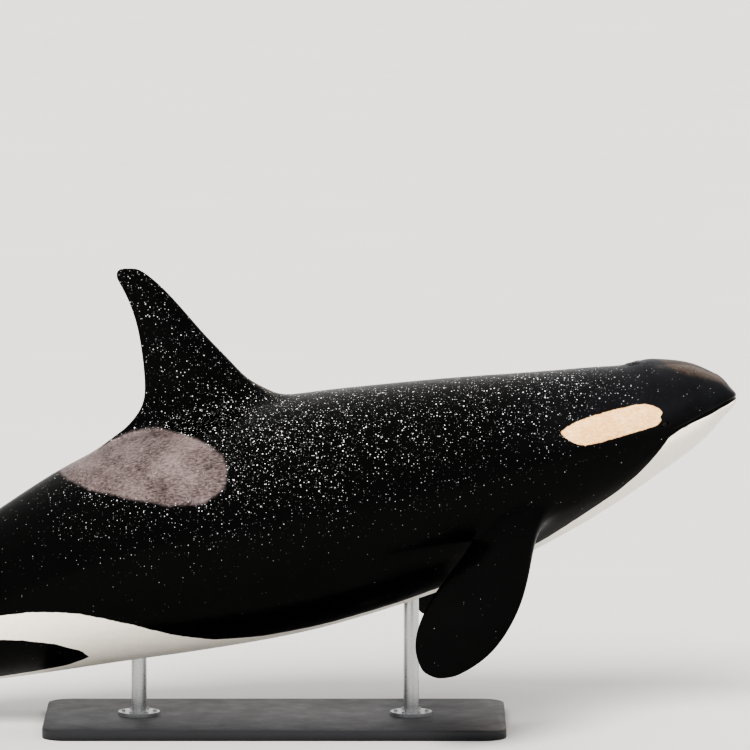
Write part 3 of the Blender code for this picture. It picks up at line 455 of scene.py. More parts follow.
def addFlipper(ring, first, side):
    rootPlace = sum(flipper["root"]) / 2
    origin, forward, up = frameAt(rootPlace)
    width, height = sectionPoint(rootPlace, flipper["angle"])
    left = np.array([0, side, 0])
    start = origin + left * width + up * height
    span = forward * flipper["lean"][0] + left * flipper["lean"][1] + up * flipper["lean"][2]
    span /= np.linalg.norm(span)
    chord = forward - span * (forward @ span)
    chord /= np.linalg.norm(chord)
    normal = np.cross(chord, span) * side
    normal = normal if normal @ up > 0 else -normal
    loops = []
    for share, ahead, behind, half in flipper["chords"]:
        middle = start + span * flipper["length"] * share
        edges = middle + chord * ahead, middle + chord * behind
        loops.append(bladeLoop(*edges, normal * half, sideBlade["profile"]))
    top = addBlade(sideRoot(ring, first, flipper["rows"], side), loops)
    crest = start + span * flipper["length"] * flipper["tip"][0] + chord * flipper["tip"][1]
    closeTip(top, *edges, crest, sideBlade["profile"])


def addFluke(ring, first, side):
    middle = sum(fluke["root"]) / 2
    origin, forward, up = frameAt(middle)
    left = np.array([0, side, 0])

    def at(distance, s):
        droop = fluke["droop"] * (distance / fluke["tip"][0]) ** 2
        return origin - forward * (s - middle) + left * distance + up * (fluke["rise"] - droop)

    loops = [
        bladeLoop(at(distance, ahead), at(distance, behind), up * half, sideBlade["profile"])
        for distance, ahead, behind, half in fluke["chords"]
    ]
    top = addBlade(sideRoot(ring, first, fluke["rows"], side), loops)
    distance, ahead, behind, _ = fluke["chords"][-1]
    closeTip(top, at(distance, ahead), at(distance, behind), at(*fluke["tip"]), sideBlade["profile"])


def buildCage():
    along, roots = list(body["ringsHead"]), {}
    for name, blade, steps, after in (
        ("flipper", flipper, sideBlade["steps"], body["ringsChest"]),
        ("fin", fin, fin["steps"], body["ringsTail"]),
        ("fluke", fluke, sideBlade["steps"], body["ringsEnd"]),
    ):
        roots[name] = len(along)
        along += [blade["root"][0] + (blade["root"][1] - blade["root"][0]) * step for step in steps]
        along += after
    rows = body["rows"]
    rings = []
    for s in along:
        shape = ringShape(s)
        row = []
        for j in range(2 * rows):
            side = 1 if j <= rows else -1
            k = j if j <= rows else 2 * rows - j
            width, height = shape[k]
            loose = abs(k - mouth["row"]) < 2 and s < mouth["corner"] + 0.10
            row.append(addPoint(placed(s - notchShift(s, width), side * width, height), loose))
        rings.append(row)

    def taken(i, k):  # faces that a blade root takes the place of
        return (
            (roots["fin"] <= i < roots["fin"] + len(fin["steps"]) - 1 and k == 0)
            or (roots["flipper"] <= i < roots["flipper"] + 4 and flipper["rows"][0] <= k < flipper["rows"][1])
            or (roots["fluke"] <= i < roots["fluke"] + 4 and fluke["rows"][0] <= k < fluke["rows"][1])
        )

    for i in range(len(along) - 1):
        for j in range(2 * rows):
            if not taken(i, j if j < rows else 2 * rows - 1 - j):
                after = (j + 1) % (2 * rows)
                cage["faces"].append((rings[i][j], rings[i][after], rings[i + 1][after], rings[i + 1][j]))
    closeSnout(rings[0], along[0])
    closeEnd(rings[-1], along[-1])
    addFin(rings, roots["fin"])
    for side in (1, -1):
        addFlipper(rings, roots["flipper"], side)
        addFluke(rings, roots["fluke"], side)


def controlPoints():  # moves the cage out until the smooth surface passes through its points
    target = np.array(cage["points"])
    quads = np.array(cage["faces"])
    valence = np.maximum(np.bincount(quads.ravel(), minlength=len(target)), 1)[:, None]
    held = ~np.array(cage["loose"])[:, None]
    points = target.copy()
    for _ in range(8):
        edges, corners = np.zeros_like(points), np.zeros_like(points)
        for k in range(4):
            np.add.at(edges, quads[:, k], (points[quads[:, k - 1]] + points[quads[:, (k + 1) % 4]]) / 2)
            np.add.at(corners, quads[:, k], points[quads[:, (k + 2) % 4]])
        limit = (valence**2 * points + 4 * edges + corners) / (valence * (valence + 5))
        points += np.where(held, target - limit, 0)
    return points


def smoothSkin():
    mesh = bpy.data.meshes.new("cage")
    mesh.from_pydata([tuple(p) for p in controlPoints()], [], cage["faces"])
    shape = bmesh.new()
    shape.from_mesh(mesh)
    bmesh.ops.recalc_face_normals(shape, faces=shape.faces)
    shape.to_mesh(mesh)
    shape.free()
    whole = bpy.data.objects.new("cage", mesh)
    scene.collection.objects.link(whole)
    smoothing = whole.modifiers.new("smooth", "SUBSURF")
    smoothing.levels = smoothing.render_levels = body["smoothLevels"]
    skin = evaluatedMesh(whole)
    bpy.data.objects.remove(whole)
    return skin


buildCage()
skinMesh = smoothSkin()
print("stage: skin smoothed,", len(skinMesh.vertices), "points")


# Finer faces where the lids and the blowhole need them

eye = {
    "place": 0.385, "height": -0.026, "radius": 0.025, "sink": 0.0205,
    "halfLength": 0.0215, "halfHeight": 0.0122, "rim": 0.0042, "socket": 0.016,
}
sameSpot = 1e-5  # metres between two points taken as one
blowhole = {
    "place": 0.485, "offset": 0.012, "radius": 0.050, "sweep": 150.0, "depth": 0.015, "width": 0.0052, "rim": 0.0040,
}


def surfaceFrame(s, angle, side):  # point on the skin, outward normal and forward direction
    def at(place, turn):
        width, height = sectionPoint(place, turn)
        return Vector(placed(place, side * width, height))

    along = (at(s - 0.01, angle) - at(s + 0.01, angle)).normalized()
    normal = along.cross(at(s, angle + 2.0) - at(s, angle - 2.0)).normalized() * -side
    if normal.dot(at(s, angle) - Vector(placed(s, 0, 0))) < 0:
        normal.negate()
    return at(s, angle), normal, along


def eyeFrame(side):
    angles = np.linspace(60, 130, 701)
    heights = np.array([sectionPoint(eye["place"], a)[1] for a in angles])
    return surfaceFrame(eye["place"], float(angles[np.argmin(np.abs(heights - eye["height"]))]), side)


def blowholeLine():
    place, normal, along = surfaceFrame(blowhole["place"], 0.0, 1)
    half = float(sectionAt(blowhole["place"])[2])
    line = []
    for k in range(25):
        angle = math.radians(blowhole["sweep"] * (k / 24 - 0.5))
        ahead = blowhole["radius"] * (1 - math.cos(angle)) * 0.8
        side = blowhole["radius"] * math.sin(angle) + blowhole["offset"]
        drop = (1 - math.sqrt(1 - (side / half) ** 2)) * 0.28
        line.append(place + along * ahead + Vector((0, side, 0)) - normal * drop)
    return np.array(line)


def refine(shape, inReach):  # splits the faces near a place once, keeping the surface round
    shape.normal_update()
    corners = {v: (v.co.copy(), v.normal.copy()) for v in shape.verts}
    chosen = [f for f in shape.faces if inReach(f.calc_center_median())]
    edges = list(dict.fromkeys(e for f in chosen for e in f.edges))
    bmesh.ops.subdivide_edges(shape, edges=edges, cuts=1, use_grid_fill=True, use_single_edge=True)
    for v in [v for v in shape.verts if v not in corners]:
        ends = [corners[o] for o in (e.other_vert(v) for e in v.link_edges) if o in corners]
        pair = next(
            ((a, b) for a in ends for b in ends
             if a is not b and (a[0] + b[0] - 2 * v.co).length < sameSpot), None,
        )
        if pair:
            (p, n), (q, m) = pair
            v.co += (m * m.dot(q - p) - n * n.dot(q - p)) / 8
            continue
        near = [corners[c] for c in dict.fromkeys(c for f in v.link_faces for c in f.verts) if c in corners]
        if len(near) == 4:
            v.co -= sum((normal * (v.co - corner).dot(normal) for corner, normal in near), Vector()) / 8


eyeCentres = {side: eyeFrame(side) for side in (1, -1)}
grooveLine = blowholeLine()
shape = bmesh.new()
shape.from_mesh(skinMesh)
bmesh.ops.delete(shape, geom=[v for v in shape.verts if not v.link_faces], context="VERTS")
for reach in (0.058, 0.042):
    refine(shape, lambda c: any((c - eyeCentres[s][0]).length < reach for s in (1, -1)))
for reach in (0.034, 0.016):
    refine(shape, lambda c: c.z > 1.5 and np.sqrt(((grooveLine - np.array(c)) ** 2).sum(1)).min() < reach)
shape.normal_update()
shape.to_mesh(skinMesh)
shape.free()

# Lids, eye openings and blowhole, as moves along the skin's own normals
points = np.array([v.co for v in skinMesh.vertices], float)
normals = np.array([v.normal for v in skinMesh.vertices], float)


def lidHeight(q, up):  # q is 1 at the lid's edge; up is above the eye's own line
    rim = eye["rim"] * np.exp(-(((q - 1.16) / 0.30) ** 2))
    fold = -0.0016 * np.exp(-(((q - 1.85) / 0.16) ** 2)) * (0.5 + 0.5 * up)
    brow = 0.0022 * np.exp(-(((q - 2.35) / 0.45) ** 2)) * (0.4 + 0.6 * up)
    inside = -eye["socket"] * ease((1.0 - q) / 0.30)
    return rim * np.where(q < 1, ease((q - 0.55) / 0.45), 1) + fold + brow + inside


moves = np.zeros(len(points))
for side in (1, -1):
    place, normal, along = (np.array(v) for v in eyeCentres[side])
    across = np.cross(normal, along) * side
    local = points - place
    a, b = local @ along, local @ across
    b = b if np.array(across)[2] > 0 else -b
    near = (np.abs(local @ normal) < 0.05) & (points[:, 1] * side > 0)
    almond = 1 + 0.5 * np.minimum((a / eye["halfLength"]) ** 2, 1.5)
    q = np.sqrt((a / eye["halfLength"]) ** 2 + (b / eye["halfHeight"]) ** 2 * almond)
    wide = np.sqrt((a / 0.050) ** 2 + (b / 0.034) ** 2)
    moves += np.where(near & (wide < 1.6), lidHeight(q, np.tanh(b / 0.006)) * ease((1.6 - wide) / 0.6), 0)
distance = np.full(len(points), 1.0)
head = np.nonzero(points[:, 0] > -1.0)[0]
for start in range(0, len(head), 4000):
    some = head[start : start + 4000]
    distance[some] = np.sqrt(((points[some, None, :] - grooveLine[None]) ** 2).sum(2)).min(1)
groove = -blowhole["depth"] * np.exp(-((distance / blowhole["width"]) ** 2))
groove += blowhole["rim"] * np.exp(-(((distance - 0.014) / 0.008) ** 2))
moves += groove
points += normals * moves[:, None]
skinMesh.vertices.foreach_set("co", points.ravel())
skinMesh.update()
skinMesh.transform(Matrix.Translation((shift, 0, 0)))
print("stage: lids and blowhole,", len(skinMesh.polygons), "faces")


# Markings, as distances inside each marking's edge in metres, kept on the points

markings = {
    "roll": 0.55,  # metres of skin for a radian round the body
    # outline of the patch behind the eye, as place and height
    "eyePatch": [
        (0.461, 0.096), (0.419, 0.078), (0.393, 0.055), (0.380, 0.034), (0.398, 0.016), (0.396, -0.004),
        (0.420, -0.020), (0.489, -0.025), (0.604, -0.027), (0.719, -0.030), (0.791, -0.025), (0.824, -0.012),
        (0.855, 0.012), (0.879, 0.038), (0.896, 0.068), (0.853, 0.087), (0.793, 0.099), (0.708, 0.105),
        (0.604, 0.106), (0.501, 0.103),
    ],
    # outline from above of the painted sheen on top of the melon, a sky reflection put into the colour, as place and
    # distance from the midline
    "melon": [
        (0.350, -0.10), (0.345, 0.02), (0.315, 0.085), (0.274, 0.130), (0.239, 0.140), (0.203, 0.136),
        (0.157, 0.118), (0.111, 0.091), (0.075, 0.072), (0.050, 0.063), (0.025, 0.045), (-0.03, 0.02), (-0.03, -0.10),
    ],
    # outlines as place and degrees from the crown
    "saddle": [
        (3.14, -8.0), (3.10, 0.5), (3.067, 2.4), (3.022, 2.3), (2.942, 2.9), (2.862, 4.8), (2.795, 8.0), (2.716, 17.8),
        (2.623, 29.9), (2.566, 37.5), (2.53, 43.6), (2.522, 52.0), (2.56, 62.0), (2.68, 67.0), (2.84, 63.0),
        (3.02, 51.0), (3.18, 36.0), (3.27, 20.0), (3.30, 6.0), (3.305, -8.0),
    ],
    "belly": [
        (-0.10, 97.0), (0.0, 97.0), (0.09, 97.5), (0.20, 102.5), (0.30, 108.0), (0.38, 113.0), (0.45, 122.0),
        (0.55, 131.0), (0.70, 139.0), (0.90, 145.0), (1.10, 150.0), (1.30, 153.0), (1.50, 155.0), (1.80, 157.0),
        (2.20, 158.0), (2.60, 156.0), (2.85, 150.0), (3.05, 139.0), (3.25, 124.0), (3.45, 110.0), (3.65, 100.0),
        (3.85, 94.0), (4.05, 91.0), (4.20, 93.0), (4.27, 99.0), (4.17, 106.0), (3.97, 112.0), (3.77, 121.0),
        (3.62, 131.0), (3.52, 142.0), (3.50, 150.0), (3.62, 158.0), (3.80, 162.0), (4.00, 165.0), (4.20, 169.0),
        (4.36, 175.0), (4.42, 182.0), (4.40, 200.0), (-0.10, 200.0),
    ],
    # outline on the flukes' underside, as place and distance from the midline
    "underFluke": [
        (5.36, -0.10), (5.36, 0.0), (5.42, 0.13), (5.50, 0.25), (5.60, 0.38), (5.71, 0.50), (5.80, 0.59),
        (5.86, 0.64), (5.885, 0.62), (5.865, 0.50), (5.855, 0.38), (5.845, 0.26), (5.80, 0.14), (5.76, 0.05),
        (5.74, 0.0), (5.74, -0.10),
    ],
}


def insideDistance(flat, outline):  # distance to an outline, positive inside it
    best = np.full(len(flat), 9.0)
    inside = np.zeros(len(flat), bool)
    for a, b in zip(outline, np.roll(outline, -1, axis=0)):
        edge = b - a
        share = np.clip(((flat - a) @ edge) / (edge @ edge), 0, 1)
        best = np.minimum(best, np.hypot(*(flat - a - share[:, None] * edge).T))
        crosses = (a[1] > flat[:, 1]) != (b[1] > flat[:, 1])
        reach = a[0] + (flat[:, 1] - a[1]) * edge[0] / (edge[1] if edge[1] else 1e-9)
        inside ^= crosses & (flat[:, 0] < reach)
    return np.where(inside, best, -best)


place, side, height = straightened(points)
middle = sectionAt(np.clip(place, 0.09, 5.785))[:, 3]
pivot = mouthHeight(place) + (middle - mouthHeight(place)) * ease(place / 0.4)
turn = np.degrees(np.arctan2(np.abs(side), height - pivot))
rolled = np.stack([place, np.radians(turn) * markings["roll"]], 1)


def rolledOutline(name):
    outline = np.array(markings[name], float)
    return np.stack([outline[:, 0], np.radians(outline[:, 1]) * markings["roll"]], 1)


def storeMask(name, values):
    skinMesh.attributes.new(name, "FLOAT", "POINT").data.foreach_set("value", values.astype(np.float32))


lipDistance = np.where(place < mouth["corner"], np.abs(height - mouthHeight(place)), 1.0)
patchDistance = insideDistance(np.stack([place, height], 1), np.array(markings["eyePatch"]))
bellyDistance = insideDistance(rolled, rolledOutline("belly"))
underDistance = insideDistance(np.stack([place, np.abs(side)], 1), np.array(markings["underFluke"]))
bellyDistance = np.where(place > 5.1, np.where(normals[:, 2] < -0.3, underDistance, -0.06), bellyDistance)
bellyDistance = np.minimum(bellyDistance, lipDistance - 0.009)
# painted sheen: the top of the melon, where the skin would reflect the sky, is given a brown-grey colour
sheenDistance = insideDistance(np.stack([place, np.abs(side)], 1), np.array(markings["melon"]))
storeMask("paintedSheenEdge", np.where(height > 0.02, sheenDistance, -0.05))
storeMask("patchEdge", patchDistance)
storeMask("bellyEdge", bellyDistance)
saddleDistance = insideDistance(rolled, rolledOutline("saddle"))
storeMask("saddleEdge", saddleDistance)
onFin = ease((height - sectionAt(np.clip(place, 0.09, 5.785))[:, 0] - 0.01) / 0.07)
# painted glints: how many pale flecks for the glints of water drops are put on the skin at each place
dropletGlintShare = (0.75 * ease((place - 0.15) / 0.70) + 0.25 * ease((place - 1.75) / 0.35)) * ease((3.9 - place) / 1.5)
dropletGlintShare *= ease((120 - turn) / 90) * (1 - 0.50 * onFin) * (1 - 0.85 * ease(saddleDistance / 0.02))
dropletGlintShare = np.maximum(dropletGlintShare, 0.05) * (1 - 0.7 * ease((-0.26 - height) / 0.12))
storeMask("dropletGlintShare", dropletGlintShare)
# painted reflection: the upper head, which tilts up towards the sky, is turned slate grey in the colour
storeMask("headSheenShare", ease((1.3 - place) / 1.0) * ease((height + 0.07) / 0.14))
print("stage: markings")


def wetSkinMaterial():
    # Whale skin, wet: smooth as rubber and near black, with a painted sky reflection that turns the upper head slate
    # grey, a thin water film that gives a soft sheen along the back, a painted brown-grey sheen on top of the melon,
    # pale patches with slightly uneven edges, and fine pale flecks that are painted glints of water drops.
    made, tree = newMaterial("wet_orca_skin")
    where = addNode(tree, "ShaderNodeTexCoord").outputs["Object"]

    def mask(name, soft, ragged, grain):  # a marking's share, its edge frayed by noise
        edge = addNode(tree, "ShaderNodeAttribute", attribute_name=name).outputs["Fac"]
        noise = addNode(tree, "ShaderNodeTexNoise", {"Vector": where, "Scale": grain, "Detail": 3.0, "Roughness": 0.55})
        frayed = addNode(
            tree, "ShaderNodeMath", {0: noise.outputs["Fac"], 1: ragged * 2, 2: -ragged}, operation="MULTIPLY_ADD"
        )
        total = addNode(tree, "ShaderNodeMath", {0: edge, 1: frayed.outputs[0]}, operation="ADD")
        return addNode(
            tree, "ShaderNodeMapRange",
            {"Value": total.outputs[0], "From Min": -soft, "From Max": soft, "To Min": 0.0, "To Max": 1.0},
            interpolation_type="SMOOTHSTEP",
        ).outputs["Result"]

    cloud = addNode(tree, "ShaderNodeTexNoise", {"Vector": where, "Scale": 5.0, "Detail": 6.0, "Roughness": 0.60})
    mottle = addNode(tree, "ShaderNodeTexNoise", {"Vector": where, "Scale": 42.0, "Detail": 7.0, "Roughness": 0.68})
    black = addNode(
        tree, "ShaderNodeMix", {0: cloud.outputs["Fac"], 6: hexColour("#020202"), 7: hexColour("#080808")},
        data_type="RGBA",
    ).outputs[2]
    # painted reflection of the sky: slate grey mixed into the black of the upper head
    sheenOnHead = addNode(tree, "ShaderNodeAttribute", attribute_name="headSheenShare").outputs["Fac"]
    paintedHeadSheen = addNode(tree, "ShaderNodeMath", {0: sheenOnHead, 1: cloud.outputs["Fac"]}, operation="MULTIPLY").outputs[0]
    dark = addNode(tree, "ShaderNodeMix", {0: paintedHeadSheen, 6: black, 7: hexColour("#27282d")}, data_type="RGBA").outputs[2]
    drawn = addNode(
        tree, "ShaderNodeMapping",
        {"Vector": where, "Rotation": (0.0, math.radians(38.0), 0.0), "Scale": (0.35, 1.0, 1.0)},
    )
    speckle = addNode(
        tree, "ShaderNodeTexNoise", {"Vector": drawn.outputs[0], "Scale": 120.0, "Detail": 5.0, "Roughness": 0.75}
    )
    brushed = addNode(
        tree, "ShaderNodeMath", {0: cloud.outputs["Fac"], 1: 0.6, 2: speckle.outputs["Fac"]}, operation="MULTIPLY_ADD"
    )
    grain = addNode(
        tree, "ShaderNodeMapRange",
        {"Value": brushed.outputs[0], "From Min": 0.60, "From Max": 1.02, "To Min": 0.0, "To Max": 1.0},
    ).outputs["Result"]
    patch = mask("patchEdge", 0.0030, 0.0045, 60.0)
    colour = dark
    for share, texture, low, high in (
        # painted sheen: brown-grey on top of the melon stands in for the sky's reflection
        (mask("paintedSheenEdge", 0.010, 0.010, 70.0), grain, "#16110f", "#443b36"),
        (mask("saddleEdge", 0.012, 0.012, 34.0), grain, "#211b1b", "#7e7272"),
        (mask("bellyEdge", 0.004, 0.007, 22.0), mottle.outputs["Fac"], "#e4dccf", "#f7f3eb"),
        (patch, grain, "#d39c66", "#fadcac"),
    ):
        tint = addNode(tree, "ShaderNodeMix", {0: texture, 6: hexColour(low), 7: hexColour(high)}, data_type="RGBA")
        colour = addNode(tree, "ShaderNodeMix", {0: share, 6: colour, 7: tint.outputs[2]}, data_type="RGBA").outputs[2]

    # painted glints of water drops, as pale flecks a few millimetres across: small dull ones in many cells of a raster
    # and larger bright ones in a few
    share = addNode(tree, "ShaderNodeAttribute", attribute_name="dropletGlintShare").outputs["Fac"]
    unmarked = addNode(tree, "ShaderNodeMath", {0: 1.0, 1: patch}, operation="SUBTRACT").outputs[0]
    dropGlints = []
    for scale, part, low, spread in ((110.0, 0.95, 0.15, 0.20), (52.0, 0.56, 0.09, 0.13)):
        cells = addNode(tree, "ShaderNodeTexVoronoi", {"Vector": where, "Scale": scale, "Randomness": 1.0})
        random = addNode(tree, "ShaderNodeSeparateColor", {0: cells.outputs["Color"]})
        level = addNode(tree, "ShaderNodeMath", {0: share, 1: part}, operation="MULTIPLY")
        wanted = addNode(tree, "ShaderNodeMath", {0: random.outputs[0], 1: level.outputs[0]}, operation="LESS_THAN")
        size = addNode(tree, "ShaderNodeMath", {0: random.outputs[1], 1: spread, 2: low}, operation="MULTIPLY_ADD")
        dot = addNode(
            tree, "ShaderNodeMath", {0: cells.outputs["Distance"], 1: size.outputs[0]}, operation="LESS_THAN"
        )
        both = addNode(tree, "ShaderNodeMath", {0: dot.outputs[0], 1: wanted.outputs[0]}, operation="MULTIPLY")
        shown = addNode(tree, "ShaderNodeMath", {0: both.outputs[0], 1: unmarked}, operation="MULTIPLY")
        dropGlints.append((shown.outputs[0], random.outputs[2]))
    faint = addNode(tree, "ShaderNodeMath", {0: dropGlints[0][1], 1: 3.0}, operation="POWER")
    faint = addNode(tree, "ShaderNodeMath", {0: faint.outputs[0], 1: 0.72, 2: 0.06}, operation="MULTIPLY_ADD")
    faint = addNode(tree, "ShaderNodeMath", {0: dropGlints[0][0], 1: faint.outputs[0]}, operation="MULTIPLY")
    crowd = addNode(tree, "ShaderNodeMath", {0: share, 1: 1.0, 2: 0.35}, operation="MULTIPLY_ADD", use_clamp=True)
    faint = addNode(tree, "ShaderNodeMath", {0: crowd.outputs[0], 1: faint.outputs[0]}, operation="MULTIPLY")
    level = addNode(tree, "ShaderNodeMath", {0: share, 1: 1.6, 2: -0.25}, operation="MULTIPLY_ADD")
    bright = addNode(tree, "ShaderNodeMath", {0: level.outputs[0], 1: dropGlints[1][0]}, operation="MULTIPLY")
    dropGlint = addNode(tree, "ShaderNodeMath", {0: faint.outputs[0], 1: bright.outputs[0]}, operation="MAXIMUM")
    colour = addNode(
        tree, "ShaderNodeMix", {0: dropGlint.outputs[0], 6: colour, 7: hexColour("#edf0f4")}, data_type="RGBA"
    ).outputs[2]

    fine = addNode(tree, "ShaderNodeTexNoise", {"Vector": where, "Scale": 170.0, "Detail": 4.0, "Roughness": 0.6})
    broad = addNode(tree, "ShaderNodeTexNoise", {"Vector": where, "Scale": 9.0, "Detail": 3.0, "Roughness": 0.5})
    first = addNode(tree, "ShaderNodeBump", {"Height": fine.outputs["Fac"], "Strength": 0.14, "Distance": 0.0010})
    second = addNode(
        tree, "ShaderNodeBump",
        {"Height": broad.outputs["Fac"], "Strength": 0.30, "Distance": 0.010, "Normal": first.outputs[0]},
    )
    third = addNode(
        tree, "ShaderNodeBump",
        {"Height": dropGlint.outputs[0], "Strength": 0.5, "Distance": 0.001, "Normal": second.outputs[0]},
    )
    rough = addNode(
        tree, "ShaderNodeMapRange",
        {"Value": mottle.outputs["Fac"], "From Min": 0.3, "From Max": 0.7, "To Min": 0.26, "To Max": 0.40},
    )
    shader = addNode(tree, "ShaderNodeBsdfPrincipled", {
        "Base Color": colour, "Roughness": rough.outputs["Result"], "IOR": 1.38, "Specular IOR Level": 0.12,
        "Coat Weight": 0.22, "Coat Roughness": 0.12, "Coat IOR": 1.33,
        "Normal": third.outputs[0], "Coat Normal": second.outputs[0],
    })
    addNode(tree, "ShaderNodeOutputMaterial", {"Surface": shader.outputs[0]})
    return made


skin = newObject("orca_skin", skinMesh, wetSkinMaterial())
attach(skin, "root")
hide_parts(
    "head", "lower_jaw", "thorax", "loin", "tail_stock", "dorsal_fin",
    "flipper_left", "flipper_right", "fluke_left", "fluke_right",
)
print("stage: skin finished")


# Eyes

def eyeMaterial():
    # A living eye: dark brown iris under a clear wet cornea, which gives one small sharp glint.
    made, tree = newMaterial("orca_eye_cornea")
    where = addNode(tree, "ShaderNodeTexCoord").outputs["Object"]
    fromAxis = addNode(tree, "ShaderNodeAttribute", attribute_name="fromAxis").outputs["Fac"]
    fibre = addNode(tree, "ShaderNodeTexNoise", {"Vector": where, "Scale": 420.0, "Detail": 4.0})
    wobble = addNode(tree, "ShaderNodeMath", {0: fibre.outputs["Fac"], 1: 0.05, 2: fromAxis}, operation="MULTIPLY_ADD")
    ramp = addNode(tree, "ShaderNodeValToRGB", {"Fac": wobble.outputs[0]})
    ramp.color_ramp.elements[0].color = hexColour("#050405")
    ramp.color_ramp.elements[0].position = 0.17
    ramp.color_ramp.elements[1].color = hexColour("#110e0e")
    ramp.color_ramp.elements[1].position = 0.62
    for position, code in ((0.20, "#1d1511"), (0.40, "#2c201a"), (0.46, "#171c20"), (0.50, "#171312")):
        ramp.color_ramp.elements.new(position).color = hexColour(code)
    bump = addNode(tree, "ShaderNodeBump", {"Height": fibre.outputs["Fac"], "Strength": 0.04, "Distance": 0.0004})
    shader = addNode(tree, "ShaderNodeBsdfPrincipled", {
        "Base Color": ramp.outputs["Color"], "Roughness": 0.30, "IOR": 1.38, "Specular IOR Level": 0.1,
        "Coat Weight": 0.6, "Coat Roughness": 0.02, "Coat IOR": 1.34, "Normal": bump.outputs[0],
    })
    addNode(tree, "ShaderNodeOutputMaterial", {"Surface": shader.outputs[0]})
    return made


def buildEye(side, name, material):
    place, normal, along = eyeCentres[side]
    centre = place - normal * eye["sink"] + Vector((shift, 0, 0))
    turned = normal.to_track_quat("Z", "Y").to_matrix().to_4x4()
    ball = bmesh.new()
    bmesh.ops.create_uvsphere(ball, u_segments=56, v_segments=36, radius=eye["radius"])
    mesh = bpy.data.meshes.new(name)
    tilt = [math.acos(max(-1.0, min(1.0, v.co.z / eye["radius"]))) for v in ball.verts]
    for v, angle in zip(ball.verts, tilt):  # the cornea stands a little proud
        v.co *= 1 + 0.030 * math.exp(-((angle / 0.42) ** 2))
    bmesh.ops.transform(ball, matrix=Matrix.Translation(centre) @ turned, verts=ball.verts)
    ball.to_mesh(mesh)
    ball.free()
    mesh.attributes.new("fromAxis", "FLOAT", "POINT").data.foreach_set("value", tilt)
    made = newObject(name, mesh, material)
    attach(made, "root")
    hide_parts(name.replace("orca_", ""))


corneaMaterial = eyeMaterial()
buildEye(1, "orca_eye_left", corneaMaterial)
buildEye(-1, "orca_eye_right", corneaMaterial)
print("stage: eyes")


# Stand

def paintedBaseMaterial():
    # Powder-coated steel plate: an even satin charcoal with a fine orange-peel skin that softens reflections.
    made, tree = newMaterial("powder_coated_steel")
    where = addNode(tree, "ShaderNodeTexCoord").outputs["Object"]
    peel = addNode(tree, "ShaderNodeTexNoise", {"Vector": where, "Scale": 260.0, "Detail": 2.0})
    dust = addNode(tree, "ShaderNodeTexNoise", {"Vector": where, "Scale": 7.0, "Detail": 6.0, "Roughness": 0.65})
    colour = addNode(
        tree, "ShaderNodeMix", {0: dust.outputs["Fac"], 6: hexColour("#232427"), 7: hexColour("#303135")},
        data_type="RGBA",
    )
    rough = addNode(
        tree, "ShaderNodeMapRange",
        {"Value": dust.outputs["Fac"], "From Min": 0.3, "From Max": 0.7, "To Min": 0.42, "To Max": 0.58},
    )
    bump = addNode(tree, "ShaderNodeBump", {"Height": peel.outputs["Fac"], "Strength": 0.25, "Distance": 0.0004})
    shader = addNode(tree, "ShaderNodeBsdfPrincipled", {
        "Base Color": colour.outputs[2], "Roughness": rough.outputs["Result"], "IOR": 1.5, "Normal": bump.outputs[0],
    })
    addNode(tree, "ShaderNodeOutputMaterial", {"Surface": shader.outputs[0]})
    return made


def brushedSteelMaterial(name, stretch):
    # Stainless steel bar brushed one way: long fine streaks that drag the highlight across them.
    made, tree = newMaterial(name)
    where = addNode(tree, "ShaderNodeTexCoord").outputs["Object"]
    drawn = addNode(tree, "ShaderNodeMapping", {"Vector": where, "Scale": stretch})
    streak = addNode(
        tree, "ShaderNodeTexNoise", {"Vector": drawn.outputs[0], "Scale": 1.0, "Detail": 5.0, "Roughness": 0.7}
    )
    colour = addNode(
        tree, "ShaderNodeMix", {0: streak.outputs["Fac"], 6: hexColour("#a9abad"), 7: hexColour("#cfd0d1")},
        data_type="RGBA",
    )
    rough = addNode(
        tree, "ShaderNodeMapRange",
        {"Value": streak.outputs["Fac"], "From Min": 0.3, "From Max": 0.7, "To Min": 0.22, "To Max": 0.38},
    )
    bump = addNode(tree, "ShaderNodeBump", {"Height": streak.outputs["Fac"], "Strength": 0.12, "Distance": 0.0003})
    shader = addNode(tree, "ShaderNodeBsdfPrincipled", {
        "Base Color": colour.outputs[2], "Metallic": 1.0, "Roughness": rough.outputs["Result"],
        "Normal": bump.outputs[0],
    })
    addNode(tree, "ShaderNodeOutputMaterial", {"Surface": shader.outputs[0]})
    return made


def joinedCopy(node):  # a node's own shape, its loose triangles joined
    joined = bmesh.new()
    joined.from_mesh(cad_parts[node].data)
    bmesh.ops.remove_doubles(joined, verts=joined.verts, dist=sameSpot)
    return joined


def roundBar(node):  # a rod with more sides than its node, and as high all round as the node is
    low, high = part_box(node)
    radius, centre = (high.x - low.x) / 2, (low.x + high.x) / 2
    corners = np.array([v.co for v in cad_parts[node].data.vertices], float) - [centre, 0, 0]
    rim = corners[(np.hypot(corners[:, 0], corners[:, 1]) > 0.98 * radius) & (corners[:, 2] > low.z + radius)]
    rim = rim[np.argsort(np.arctan2(rim[:, 1], rim[:, 0]))]
    turns = np.arange(stand["barSides"]) * 2 * np.pi / stand["barSides"]
    tops = np.interp(turns, np.arctan2(rim[:, 1], rim[:, 0]), rim[:, 2], period=2 * np.pi)
    bar = bmesh.new()
    lower = [bar.verts.new((centre + radius * math.cos(a), radius * math.sin(a), low.z)) for a in turns]
    upper = [bar.verts.new((v.co.x, v.co.y, top)) for v, top in zip(lower, tops)]
    crown = bar.verts.new((centre, 0, (tops[0] + tops[len(tops) // 2]) / 2))
    for k in range(len(turns)):
        bar.faces.new((lower[k - 1], lower[k], upper[k], upper[k - 1]))
        bar.faces.new((upper[k - 1], upper[k], crown))
    bar.faces.new(lower[::-1])
    return bar


